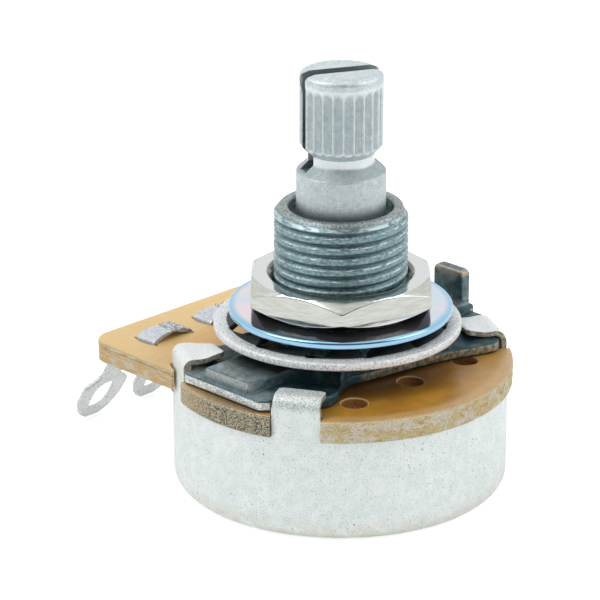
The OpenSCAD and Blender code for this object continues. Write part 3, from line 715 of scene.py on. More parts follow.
def shaft_alloy():
    """Turned aluminium, pale blue-grey, with fine upright scratches and matt tool marks; painted highlights
    on the knurl's ridges, and painted shade in its grooves, in the slot and low down by the bushing.
    """
    f = Finish("shaft_alloy", Metallic=0.7, Roughness=0.4)
    radius, height = f.radius(), f.height()
    fine = f.grain(0.09, detail=4, rough=0.85)
    clouds = f.ramp(f.grain(0.5, detail=5, rough=0.75), 0.34, 0.68)
    base = f.mix(clouds, "ccd8db", "e8f0f1")
    base = f.mix(f.ramp(fine, 0.46, 0.64, 0.0, 0.6), base, "93a2a6")
    upright = f.ramp(f.grain(0.08, stretch=(1, 1, 0.12), detail=3, rough=0.7, seed=2), 0.54, 0.72)
    base = f.over(base, "8d999e", upright, 0.3)
    body = f.ramp(height, NECK_Z + 0.02, NECK_Z - 0.06)
    base = f.over(base, "98a5a8", body, 0.3)
    fluted = f.band(height, KNURL_Z, FLUTE_TOP_Z, 0.1)
    # Painted shade: darker down in the knurl's grooves.
    groove = f.times(f.ramp(radius, KNURL_R - 0.05, KNURL_R - 0.14), fluted)
    base = f.over(base, "7c8f95", groove, 0.45)
    # Painted highlight: the tops of the knurl's ridges near white.
    painted_ridge_highlight = f.times(f.ramp(radius, KNURL_R - 0.06, KNURL_R - 0.01), fluted)
    base = f.over(base, "f4fafa", painted_ridge_highlight, 0.5)
    # Painted shade: the slot's walls dark, near black at its floor and greyer towards the end.
    along, across, _ = f.split(f.place(turn_deg=(0, 0, -SLOT_DEG), shift=(0, -SLOT_SHIFT, 0)))
    painted_slot_shade = f.times(f.ramp(f.math("ABSOLUTE", across), SLOT_W / 2 + 0.02, SLOT_W / 2 + 0.005),
                     f.ramp(height, SLOT_Z - 0.05, SLOT_Z))
    deep = f.ramp(f.math("ABSOLUTE", along), KNURL_R - 0.17, KNURL_R - 0.26)
    lower = f.mix(f.ramp(height, SLOT_Z, SHAFT_TOP - 0.8), "3c4648", "8b9798")
    base = f.mix(f.times(f.times(painted_slot_shade, deep), 0.9), base, lower)
    cone = f.band(height, SHOULDER_Z + 0.05, NECK_Z - 0.05, 0.06)
    base = f.over(base, "93a2a6", cone, 0.45)
    collar = f.band(height, NECK_Z + 0.02, KNURL_FOOT_Z, 0.05)
    base = f.over(base, "eef5f6", collar, 0.7)
    # Painted shade: the shaft dark low down, where it goes into the bushing.
    below = f.ramp(height, SHOULDER_Z - 1.8, SHOULDER_Z - 2.8)
    base = f.over(base, "4f5759", below, 0.6)
    rough = f.ramp(f.grain(0.3, seed=6), 0.3, 0.7, 0.34, 0.54)
    f.set(Base_Color=base, Roughness=f.math("ADD", rough, f.times(cone, 0.2)))
    lathe = f.grain(0.09, stretch=(0.02, 0.02, 1), detail=2, seed=7)
    f.set(Normal=f.relief(lathe, 0.01, f.relief(f.grain(0.13, detail=4, rough=0.7), 0.025)))
    return f.material


def nut_nickel():
    """Warm polished nickel with soft streaks along the flats; the top face painted lighter, the faces that
    look down painted dark, and a dark ring of grease and painted shade round the bore.
    """
    f = Finish("nut_nickel", Metallic=0.95, Roughness=0.1)
    streaks = f.grain(0.14, stretch=(0.12, 0.12, 1), detail=4, seed=3)
    base = f.mix(f.ramp(streaks, 0.36, 0.66), "bdc1ba", "cdd0c8")
    pits = f.ramp(f.grain(0.14, detail=2, rough=0.7, seed=8), 0.72, 0.8)
    base = f.over(base, "6b6962", pits, 0.6)
    # A dark ring round the bore: grease, and painted shade in the countersink.
    grease_and_painted_shade = f.ramp(f.radius(), THREAD_R + 0.6, THREAD_R + 0.38)
    base = f.over(base, "3b3732", grease_and_painted_shade, 0.75)
    up = f.split(f.facing)[2]
    # Painted light: the top face lighter, less so near the bore.
    base = f.mix(f.times(f.ramp(up, 0.95, 0.99), f.math("SUBTRACT", 0.8, f.times(grease_and_painted_shade, 0.8))),
                 base, "dadedf")
    # Painted shade: faces that look down near black.
    under = f.ramp(up, -0.15, -0.4)
    base = f.over(base, "23211f", under, 0.9)
    polish = f.ramp(f.grain(0.8, seed=1), 0.3, 0.7, 0.06, 0.16)
    cone = f.band(up, 0.78, 0.93, 0.03)
    f.set(Base_Color=base, Roughness=f.math("ADD", polish, f.times(cone, 0.28)))
    f.set(Normal=f.relief(streaks, 0.004, f.relief(f.grain(2.2, detail=1), 0.02)))
    return f.material


def bright_zinc():
    """Mirror-bright blue zinc with lavender and pink tints, bluer at the rim."""
    f = Finish("bright_zinc", Metallic=0.95, Roughness=0.12)
    radius = f.radius()
    tints = f.grain(2.2, detail=3, seed=2)
    base = f.mix(f.ramp(tints, 0.4, 0.62), "cfdcea", "e6d9dd")
    rim = f.ramp(radius, dress_high[0] - 0.7, dress_high[0] - 0.15)
    base = f.over(base, "90c4e2", rim, 0.9)
    fine = f.grain(0.07, detail=2, rough=0.7, seed=5)
    base = f.mix(f.ramp(fine, 0.6, 0.75, 0.0, 0.35), base, "7d8796")
    f.set(Base_Color=base, Roughness=f.ramp(f.grain(0.6, seed=4), 0.3, 0.7, 0.06, 0.16))
    f.set(Normal=f.relief(f.grain(0.5, detail=2), 0.003))
    return f.material


def washer_zinc():
    """Pale tumbled zinc, speckled and rough, its teeth painted near black as shade."""
    f = Finish("washer_zinc", Metallic=0.55, Roughness=0.5)
    base = f.mix(f.ramp(f.grain(0.3, detail=5, rough=0.7), 0.34, 0.62), "e4e9e9", "ffffff")
    specks = f.ramp(f.grain(0.11, detail=3, rough=0.85, seed=4), 0.55, 0.62)
    base = f.over(base, "3f4849", specks, 0.8)
    x, y, _ = f.split(f.place(shift=(-LOCK_CENTRE[0], -LOCK_CENTRE[1], 0)))
    # Painted shade: the teeth inside the rim near black, as under the dress washer.
    inner = f.ramp(f.distance(x, y), LOCK_R - LOCK_RIM_W + 0.12, LOCK_R - LOCK_RIM_W)
    base = f.over(base, "1b2c30", inner, 0.95)
    f.set(Base_Color=base)
    f.set(Normal=f.relief(f.grain(0.12, detail=4, rough=0.8), 0.05))
    return f.material


def carbon_film():
    """Printed carbon: near black, fine-grained, with wipe marks along the track."""
    f = Finish("carbon_film", Roughness=0.55)
    marks = f.grain(0.1, detail=3, vector=f.node(
        "ShaderNodeCombineXYZ", f.times(f.radius(), 3.0), 0.0, 0.0).outputs[0])
    f.set(Base_Color=f.mix(marks, "15161a", "2f3136"))
    f.set(Normal=f.relief(f.grain(0.08, detail=3), 0.01))
    return f.material


def silver_film():
    """Printed silver: matt, warm grey, grainy."""
    f = Finish("silver_film", Metallic=0.6, Roughness=0.5)
    f.set(Base_Color=f.mix(f.ramp(f.grain(0.12, detail=4), 0.35, 0.65), "a9aaa6", "d9d9d4"))
    f.set(Normal=f.relief(f.grain(0.1, detail=3), 0.015))
    return f.material


def spring_steel():
    """Blued spring steel with faint brown patches."""
    f = Finish("spring_steel", Metallic=0.9, Roughness=0.34)
    f.set(Base_Color=f.mix(f.ramp(f.grain(0.8, detail=4), 0.4, 0.62), "4b4e55", "7a756d"))
    f.set(Normal=f.relief(f.grain(0.12, detail=3), 0.01))
    return f.material


def rotor_resin():
    """Moulded brown resin with a slight mottle."""
    f = Finish("rotor_resin", Roughness=0.42)
    f.set(Base_Color=f.mix(f.ramp(f.grain(0.9, detail=5), 0.35, 0.68), "3c2414", "5d3a20"))
    f.set(Normal=f.relief(f.grain(0.3, detail=4), 0.015))
    return f.material


def spring_bronze():
    """Rolled bronze strip, warm yellow with rolling lines."""
    f = Finish("spring_bronze", Metallic=0.9, Roughness=0.3)
    lines = f.grain(0.08, stretch=(1, 0.06, 1), detail=2)
    f.set(Base_Color=f.mix(f.ramp(lines, 0.4, 0.65), "b08a4a", "d8b878"))
    f.set(Normal=f.relief(lines, 0.008))
    return f.material


def fibre():
    """Pressed fibre, tan and faintly fuzzy."""
    f = Finish("fibre", Roughness=0.8)
    f.set(Base_Color=f.mix(f.ramp(f.grain(0.25, detail=5, rough=0.75), 0.35, 0.65), "a8875c", "cdb188"))
    f.set(Normal=f.relief(f.grain(0.1, detail=4), 0.03))
    return f.material


# The can and its tabs


def can_shell():
    """The drawn can. A closed profile of the wall is carried round the axis.

    The rim drops by WINDOW_DEPTH where the terminals leave, and the wall is pushed in over the stop by
    plateau(angle) * plateau(height). A slight ripple stands for the unevenness of a drawn wall.
    """
    stop_half_deg, stop_push = 19.5, 1.7
    stop_low, stop_high = hub_low[2] + 1.2, BOARD_Z - 1.4
    window_deg = math.degrees(math.asin(WINDOW_HALF / CAN_R))
    sides = [90 - window_deg, 90 + window_deg]
    deg = np.unique(np.concatenate([np.arange(0, 360, 1.5)] + [s + np.arange(-1.2, 1.3, 0.3) for s in sides]))
    angles = np.radians(deg)
    outer_z = np.arange(CAN_EDGE_R, BOARD_Z - 0.12, 0.2)
    inner_r = CAN_R - SHEET
    centre = (CAN_R - CAN_EDGE_R, CAN_EDGE_R)
    rim = rounded([[CAN_R, BOARD_Z - 0.12], [CAN_R, BOARD_Z], [inner_r, BOARD_Z],
                   [inner_r, BOARD_Z - 0.12]], 0.1, closed=False, parts=3)
    profile = join(
        [[0.4, 0], [4, 0], [8, 0], [10, 0]],
        arc(centre, CAN_EDGE_R, -90, 0, 12),
        np.stack([np.full_like(outer_z, CAN_R), outer_z], 1),
        rim,
        np.stack([np.full_like(outer_z, inner_r), outer_z[::-1]], 1),
        arc(centre, CAN_EDGE_R - SHEET, 0, -90, 6),
        [[8, SHEET], [4, SHEET], [0.4, SHEET]],
    )
    r, z = profile.T[..., None]
    window = plateau(deg, sides[0] - 0.6, sides[1] + 0.6, 1.2)
    hinge = BOARD_Z - 1.4
    z = z - window * WINDOW_DEPTH * np.clip((z - hinge) / (BOARD_Z - hinge), 0, 1)
    push = plateau(deg, 90 - stop_half_deg, 90 + stop_half_deg, 3.0) * plateau(z, stop_low, stop_high, 0.45)
    wave = 0.012 * ripple(angles * CAN_R, z + 0 * angles, 9.0, 3) * ease(r, 9, 11) * (1 - ease(z, 6.6, 7.4))
    r = r + wave - stop_push * push * (r > inner_r - 0.2)
    return skin(round_axis(r, z, angles))


def can_tab(degrees, bend_r, end_r, rises, twist):
    """One fold-over tab. A thin strip section is carried up the wall and in over the flange.

    Below the board the section follows the round wall and above it is flat. Its upper face lies at the
    three given heights over the flange by the bend, half way in and at the end. There one side is lifted
    and the other pressed down by twist, in proportion to the place across.
    """
    half_t, edge = TAB_SHEET / 2, 0.1
    foot_z, mid_r = BOARD_Z - 0.4, CAN_R + 0.01 - half_t
    half_way_r = 10.3
    by_bend, half_way, at_end = (FLANGE_Z + rise - half_t for rise in rises)
    path = refine(rounded([[mid_r, foot_z], [mid_r, by_bend], [half_way_r, half_way], [end_r, at_end]],
                          [0, bend_r, 1.6, 0], closed=False, parts=9), 0.12)
    total = length(path)
    loop = refine(rectangle(-1, 1, -half_t, half_t), 0.12, closed=True)
    u = np.clip(loop[:, 0], -1, 1)
    at_edge = np.abs(u) > 0.999
    lift = np.where(at_edge, loop[:, 1] * 0.86, loop[:, 1])
    s = np.r_[np.linspace(0, total - 0.16, 64), total - np.array([0.1, 0.05, 0.015, 0])][:, None]
    end_round = 1 - edge / half_t * ease(s, total - 0.14, total) ** 2 * 0.9
    rise_z = foot_z + s
    narrow = ease(rise_z, FLANGE_Z - 0.5, FLANGE_Z - 0.15)
    corner = 0.25 * ease(s, total - 0.35, total) ** 2
    across = u * (TAB_LOW_W / 2 + (TAB_W - TAB_LOW_W) / 2 * narrow - corner)
    r, z = bend(path, s + 0 * u, -lift * end_round)
    z = z + twist * u * ease(r, half_way_r + 0.6, end_r)
    follows_wall = 1 - ease(rise_z, BOARD_Z - 0.1, PLATE_Z + 0.4)
    r = r - follows_wall * (CAN_R - np.sqrt(CAN_R ** 2 - across ** 2)) - (1 - follows_wall) * 0.03
    edges = (at_edge & np.roll(at_edge, -1)).astype(int)
    return skin(spin(np.stack([r, across + 0 * r, z], -1), degrees), finish=edges)


def cover(finish, edge_finish):
    """Can with its four tabs, one piece."""
    tabs = [can_tab(TAB_DEG[0], 0.6, 9.1, (0.64, 0.58, 0.56), -0.15),
            can_tab(TAB_DEG[1], 0.5, 8.95, (0.67, 0.6, 0.72), 0.3),
            can_tab(TAB_DEG[2], 0.75, 9.95, (0.5, 0.45, 0.44), 0.0),
            can_tab(TAB_DEG[3], 1.05, 9.0, (0.52, 0.42, 0.58), -0.15)]
    made = mesh_object("drawn_can", [can_shell(), *tabs], [finish, edge_finish])
    settle(made, "housing", "tinned_can", "cover")


# The laminate board


def board_loop():
    """Plan of the board: a disc with a wing for the terminals, its corners rounded."""
    join_y = math.sqrt(BOARD_R ** 2 - BOARD_HALF_W ** 2)
    join_deg = math.degrees(math.atan2(join_y, BOARD_HALF_W))
    wing = rounded([[BOARD_HALF_W, join_y], [BOARD_HALF_W, BOARD_END_Y], [-BOARD_HALF_W, BOARD_END_Y],
                    [-BOARD_HALF_W, join_y]], BOARD_CORNER_R, closed=False, parts=10)
    disc = arc((0, 0), BOARD_R, 180 - join_deg, 360 + join_deg, 150)[:-1]
    return refine(join(wing, disc), 0.3, closed=True)


def pit_cutter(x):
    """Blind pit with a flared mouth and a rounded floor, as a turned profile."""
    top, bottom = PLATE_Z, PLATE_Z - PIT_DEPTH
    profile = [[0.02, top + 0.4], [PIT_R + 0.14, top + 0.4], [PIT_R + 0.12, top - 0.005], [PIT_R, top - 0.11],
               [PIT_R - 0.05, bottom + 0.15], [PIT_R - 0.2, bottom], [0.02, bottom]]
    return skin(turned(profile, full_turn(40)) + np.array([x, PIT_Y, 0]))


def lens_cutter(x, y, half_w, half_l):
    """Upright hole with a lens-shaped plan, like laminate torn by a prong."""
    drop = (half_l ** 2 - half_w ** 2) / (2 * half_w)
    r = drop + half_w
    tip = math.degrees(math.atan2(half_l, drop))
    loop = join(arc((-drop, 0), r, -tip, tip, 12), arc((drop, 0), r, 180 - tip, 180 + tip, 12)[1:-1])
    return skin(prism(loop + [x, y], BOARD_Z - 1, PLATE_Z + 1))


def box_cutter(r_low, r_high, from_w, to_w, degrees):
    """Upright rectangular passage at an angle round the axis."""
    return skin(spin(prism(rectangle(r_low, r_high, from_w, to_w), BOARD_Z - 1, PLATE_Z + 1), degrees))


def board(finish):
    """Board as rows of one outline: hole, upper face, rounded edge, rough side and lower face.

    The side wanders by a fine ripple, and a split between two layers runs below its upper edge.
    """
    loop = board_loop()
    normal = outward(loop)
    hole = loop / np.hypot(*loop.T)[:, None] * BOARD_HOLE_R
    way = np.r_[0, np.cumsum(np.hypot(*np.diff(loop, axis=0).T))]
    top, low = PLATE_Z, BOARD_Z
    stations = [(0.0, top), (0.15, top), (0.5, top), (0.8, top), (0.95, top)]
    rows = [np.c_[hole + (loop - hole) * share, np.full(len(loop), z)] for share, z in stations]
    sides = [(0.14, 0.0), (0.06, 0.02), (0.015, 0.07), (0.0, 0.14), (0.0, 0.3), (0.0, 0.38), (0.05, 0.42),
             (0.0, 0.46), (0.01, 0.7), (0.0, 0.95), (0.015, 1.2), (0.0, 1.4), (0.03, 1.54), (0.1, 1.6)]
    wing = ease(loop[:, 1], 7, 10)
    for inset, drop in sides:
        z = top - drop
        rough = 0.03 * ripple(way, np.full_like(way, z * 3), 1.1, int(drop * 100) // 20) * (0.1 < drop < 1.55)
        split = inset * (np.where(drop == 0.42, wing * (0.5 + 0.5 * ripple(way, 0 * way, 5, 8)), 1))
        rows.append(np.c_[loop - normal * (split + np.maximum(rough, -0.02))[:, None], np.full(len(loop), z)])
    rows += [np.c_[hole + (loop - hole) * share, np.full(len(loop), low)] for share in (0.95, 0.5, 0.0)]
    made = mesh_object("laminate_board", [skin(np.array(rows), wrap_rows=True)], [finish])
    cutters = [pit_cutter(i * PITCH_X) for i in (-1, 0, 1)]
    mid_y, lens_half_w, lens_half_l = sum(PRONG_Y) / 2, 0.34, (PRONG_Y[1] - PRONG_Y[0]) / 2 + 0.36
    for i in (-1, 0, 1):
        for side in (-1, 1):
            lens_x = i * PITCH_X + PRONG_SHIFT_X + side * (PRONG_HALF - TERMINAL_T / 2 + 0.05)
            cutters.append(lens_cutter(lens_x, mid_y, lens_half_w, lens_half_l))
    inner, half_w = TAB_SEAT_R, TAB_LOW_W / 2 + 0.07
    for i, degrees in enumerate(TAB_DEG):
        reach = CAN_R + 0.15 if i < 2 else BOARD_R + 1
        cutters.append(box_cutter(inner, reach, -half_w, half_w, degrees))
    cutters.append(box_cutter(inner + 0.05, BOARD_R + 1, -half_w + 0.02, 0.35, TAB_DEG[0]))
    cutters.append(box_cutter(inner + 0.05, BOARD_R + 1, -0.35, half_w - 0.02, TAB_DEG[1]))
    carve(made, cutters)
    settle(made, "housing", "laminate", "element_board")


# The cast plate and bushing


def raised_radius(angles):
    """Polar plan of what stands above the flange: the round boss, blended into the long rib.

    In one quarter the radius is the rib's side or end up to the hollow blend, then the blend's arc, then
    the boss; the other quarters mirror it.
    """
    fold = np.arctan2(np.abs(np.sin(angles)), np.abs(np.cos(angles)))
    cy = RIB_HALF_W + BLEND_R
    cx = math.sqrt((BOSS_R + BLEND_R) ** 2 - cy ** 2)
    rib_end_a, boss_a = math.atan2(RIB_HALF_W, cx), math.atan2(cy, cx)
    rib = np.minimum(RIB_END / np.cos(fold), RIB_HALF_W / np.maximum(np.sin(fold), 1e-3))
    off = fold - boss_a
    far = math.hypot(cx, cy)
    hollow = far * np.cos(off) - np.sqrt(np.maximum(BLEND_R ** 2 - (far * np.sin(off)) ** 2, 0))
    return np.where(fold < rib_end_a, rib, np.where(fold < boss_a, hollow, BOSS_R))


def flange_loop():
    """Plan of the flange, one long side mirrored: straight ends, a wing by each tab, a waist between."""
    side = np.array([
        [-11.6, -3.65], [-10.7, -4.4], [-8.5, -6.0], [-7.5, -6.4], [-6.6, -6.2], [-5.5, -5.5], [-4.5, -4.9],
        [-3.6, -4.75], [-1.3, -5.2], [1.5, -5.6], [4.0, -6.15], [6.2, -6.95], [8.4, -7.65], [9.3, -6.9],
        [11.6, -3.65]])
    loop = np.concatenate([side, side[::-1] * [1, -1]])
    loop[0, 1], loop[-1, 1] = -3.45, 4.0
    corner_r = [0.4] + [1.2] * 13 + [0.5] * 2 + [1.2] * 13 + [0.3]
    return refine(rounded(loop, corner_r, parts=5), 0.08, closed=True)


def flange_radius(angles):
    """Polar plan of the flange, cut back where the tabs pass."""
    radius = polar(flange_loop(), angles)
    for degrees in TAB_DEG:
        off = np.angle(np.exp(1j * (angles - math.radians(degrees))))
        near = np.abs(np.tan(np.clip(off, -0.5, 0.5))) * TAB_SEAT_R < TAB_W / 2 + 0.15
        cut_back = np.minimum(radius, TAB_SEAT_R / np.cos(off))
        radius = np.where(near & (np.abs(off) < 0.5), cut_back, radius)
    return radius


def casting():
    """Flange, rib and boss as rows round the axis.

    From the rib's crest the side runs down to the flange as height = RIB_H * share ** 1.7, a hollow slope
    whose width shrinks where the flange leaves no room. Edges are moved in along the outline's normals.
    """
    angles = full_turn(720)
    around = np.stack([np.cos(angles), np.sin(angles)], 1)
    flange = flange_radius(angles)
    raised = np.minimum(raised_radius(angles), flange - 0.05)
    long_end = np.abs(np.cos(angles)) ** 24
    room = np.maximum(flange - raised - 0.12, 0.02)
    slope_w = np.minimum(room, 1.15 - 0.7 * long_end)
    loop_f, loop_a = around * flange[:, None], around * raised[:, None]
    normal_f, normal_a = outward(loop_f), outward(loop_a)

    def row(loop, z, inset=0.0, normal=normal_f):
        return np.c_[loop - normal * np.reshape(inset, (-1, 1)), np.broadcast_to(z, len(loop))]

    inner = around * 3.6
    rows = [row(inner, PLATE_Z), row(around * 4.6, PLATE_Z)]
    t = np.linspace(0, math.pi / 2, 5)
    rows += [row(loop_f, PLATE_Z + 0.22 * (1 - math.cos(a)), 0.3 * (1 - math.sin(a))) for a in t]
    rows += [row(loop_f, PLATE_Z + h) for h in (0.35, 0.5)]
    rows += [row(loop_f, FLANGE_Z - 0.2 * (1 - math.cos(a)), 0.2 * (1 - math.sin(a))) for a in t[::-1]]
    share = np.linspace(0, 1, 13)
    for s in share:
        wide = raised + slope_w * (1 - s)
        z = FLANGE_Z + (RIB_H - 0.06) * s ** 1.7
        rows.append(row(around * wide[:, None], z))
    rows += [row(loop_a, BOSS_Z - 0.06 * (1 - ease(i / 3)), i * 0.05, normal_a) for i in (1, 2, 3)]
    rows += [row(around * np.maximum(raised * f, 4.4)[:, None], BOSS_Z) for f in (0.9, 0.75, 0.62)]
    rows += [row(inner, BOSS_Z)]
    points = np.array(rows)
    x, y, z = np.moveaxis(points, -1, 0)
    upper = ease(z, FLANGE_Z - 0.1, FLANGE_Z + 0.05)
    points[..., 2] += upper * 0.018 * ripple(x, y, 4.5, 5) * (np.hypot(x, y) > 6.4)
    return skin(points, wrap_rows=True)


def locating_lug():
    """Upright lug with softly rounded edges, and the step at its foot."""
    half_w, corner, thick, shift_y = 1.42, 0.45, 0.9, -0.12
    x_high = plate_high[0]
    top = BOSS_Z + 2.15

    def upright(loop, x_low, x_far, edge):
        y, z, x = np.moveaxis(slab(refine(loop, 0.2, closed=True), x_low, x_far, edge), -1, 0)
        return skin(np.stack([x, y + shift_y, z], -1))

    blade = rounded(rectangle(-half_w, half_w, PLATE_Z + 0.1, top), [0, 0, corner, corner])
    step_half_w = half_w + 0.45
    step = rounded(rectangle(-step_half_w, step_half_w, PLATE_Z + 0.15, FLANGE_Z + 0.35), [0, 0, 0.25, 0.25])
    return [upright(blade, x_high - thick, x_high, 0.16),
            upright(step, x_high - thick - 0.5, x_high - 0.012, 0.14)]


def thread_depth(angles, z, depth):
    """Depth of a single-start thread.

    Its phase is z / pitch less the share of a turn. It is deepest at phase 0.5 and eases to 0 at 0.7 of the
    way from there to the crest.
    """
    phase = (z / THREAD_PITCH - angles / (2 * math.pi)) % 1.0
    away = np.abs(phase - 0.5) * 2
    return depth * (1 - ease(away, 0.0, 0.7))


def threaded_bushing():
    """Bushing: a closed turned profile whose outside is pushed in by the thread."""
    angles, depth = full_turn(216), 0.24
    z_thread = np.arange(BOSS_Z - 0.3, BUSHING_Z - 0.5, THREAD_PITCH / 14)
    mouth = rounded([[THREAD_R - 0.02, BUSHING_Z - 0.5], [THREAD_R - 0.45, BUSHING_Z],
                     [MOUTH_R + 0.1, BUSHING_Z], [MOUTH_R, BUSHING_Z - 0.8], [BORE_R, BUSHING_Z - 0.8],
                     [BORE_R, BUSHING_Z - 1.2]], [0, 0.3, 0.22, 0.1, 0.05, 0], closed=False, parts=6)
    profile = join([[BORE_R, PLATE_Z + 0.01], [4.2, PLATE_Z + 0.01]],
                   np.stack([np.full_like(z_thread, THREAD_R), z_thread], 1), mouth)
    r, z = profile.T[..., None]
    groove = thread_depth(angles, z, depth) * ease(r, THREAD_R - 0.35, THREAD_R - 0.02)
    worn = 0.008 * ripple(angles * THREAD_R * 2, z * 2 + 0 * angles, 1.3, 11) * (r > THREAD_R - 0.4)
    r = r - groove + np.minimum(worn, 0)
    return skin(round_axis(r, z, angles), wrap_rows=True, finish=1)


def bushing_plate(cast_finish, thread_finish):
    """Plate, lug and bushing, one casting."""
    skins = [casting(), *locating_lug(), threaded_bushing()]
    made = mesh_object("cast_plate", skins, [cast_finish, thread_finish])
    settle(made, "housing", "dark_zinc", "bushing_plate")


# Washers and nut


def lock_washer(finish):
    """Flat rim with twelve teeth, each a strip that narrows and twists from the rim to its tip."""
    under, thick, teeth, tip_r, tip_deg = -0.33, 0.56, 12, 5.5, 40
    inner_r = LOCK_R - LOCK_RIM_W
    rim = rounded(rectangle(inner_r, LOCK_R, under, under + thick), 0.14, parts=4)
    rim_points = turned(rim, full_turn(180))
    x, y, _ = np.moveaxis(rim_points, -1, 0)
    rim_points[..., 2] += 0.02 * ripple(x, y, 6, 21)
    skins = [skin(rim_points + LOCK_CENTRE, wrap_rows=True)]
    half_w, half_t = 1.14, 0.25
    loop = rounded(rectangle(-half_w, half_w, -half_t, half_t), 0.1, parts=3)
    share = np.linspace(0, 1, 14)[:, None]
    twist = np.radians(tip_deg) * ease(share, 0.12, 0.75)
    across, lift = loop[:, 0] * (1.75 - 0.85 * share), loop[:, 1]
    root_r = inner_r + 0.3
    tooth = np.stack([root_r - share * (root_r - tip_r) + 0 * across,
                      across * np.cos(twist) - lift * np.sin(twist),
                      across * np.sin(twist) + lift * np.cos(twist)], -1)
    for i in range(teeth):
        skins.append(skin(spin(tooth, (i + 0.5) * 360 / teeth) + LOCK_CENTRE))
    settle(mesh_object("toothed_washer", skins, [finish]), "housing", "washer_zinc", "lock_washer")


def dress_washer(finish):
    """Stamped ring: a rectangle with rounded corners, carried round the axis, its faces faintly wavy."""
    low, high = dress_low[2], dress_high[2]
    r_in, r_out = THREAD_R + 0.19, dress_high[0]
    profile = rounded(rectangle(r_in, r_out, low, high), [0.06, 0.1, 0.2, 0.12], parts=5)
    points = turned(refine(profile, 0.35, closed=True), full_turn(240))
    x, y, _ = np.moveaxis(points, -1, 0)
    points[..., 2] += 0.003 * ripple(x, y, 7, 31)
    made = mesh_object("dress_ring", [skin(points, wrap_rows=True)], [finish])
    settle(made, "housing", "bright_zinc", "dress_washer")


def mounting_nut(finish):
    """Hexagon nut, rows round the axis.

    At each angle the outside is the hexagon's radius, flat / cos(angle from the middle of a flat). The faces
    fall away outside the chamfer circle along a 30 degree cone, and the bore is pushed out by its thread.
    """
    low, high = nut_low[2], nut_high[2]
    flat = THREAD_R + 1.5875
    corner_deg = 45
    bore, sink, depth = THREAD_R + 0.04, 0.42, 0.34
    chamfer_r = flat - 0.06
    angles = full_turn(432) + math.radians(0.4)
    fold = np.abs((np.degrees(angles) - corner_deg + 30) % 60 - 30)
    from_flat = np.radians(30 - fold)
    hexagon = flat / np.cos(from_flat)
    soft = 0.02 * np.exp(-(fold / 1.2) ** 2)
    hexagon = hexagon - soft
    fall = np.maximum(hexagon - chamfer_r, 0) * math.tan(math.pi / 6)
    brow = np.minimum(hexagon - 0.1, chamfer_r)
    cone_out = hexagon - 0.04
    rows = []

    def row(r, z):
        rows.append(round_axis(r, z, angles))

    def face(z, up):
        """One face from its countersink out to the side, with softened edges."""
        for r, drop in ((bore + 0.02, sink), (bore + sink - 0.04, 0.04), (bore + sink, 0.012),
                        (bore + sink + 0.07, 0.0)):
            row(r, z - up * drop)
        for share in (0.3, 0.6, 0.9):
            row(bore + sink + 0.07 + (brow - bore - sink - 0.17) * share, z)
        row(brow - 0.05, z)
        row(brow + 0.02, z - up * 0.008)
        row(brow + (cone_out - brow) * 0.5, z - up * (0.012 + fall * 0.5))
        row(cone_out, z - up * (0.02 + fall))
        row(hexagon - 0.01, z - up * (0.055 + fall))
        row(hexagon, z - up * (0.1 + fall))

    face(low, -1)
    for share in (0.25, 0.5, 0.75):
        start, end = low + 0.1 + fall, high - 0.1 - fall
        row(hexagon, start + (end - start) * share)
    lower = rows
    rows = []
    face(high, 1)
    upper = rows[::-1]
    rows = []
    for z in np.arange(high - sink - 0.02, low + sink, -THREAD_PITCH / 12):
        row(bore + depth - thread_depth(angles, z, depth), z)
    made = mesh_object("hexagon_nut", [skin(np.array(lower + upper + rows), wrap_rows=True)], [finish])
    settle(made, "nut", "nut_nickel", "mounting_nut")


# The shaft


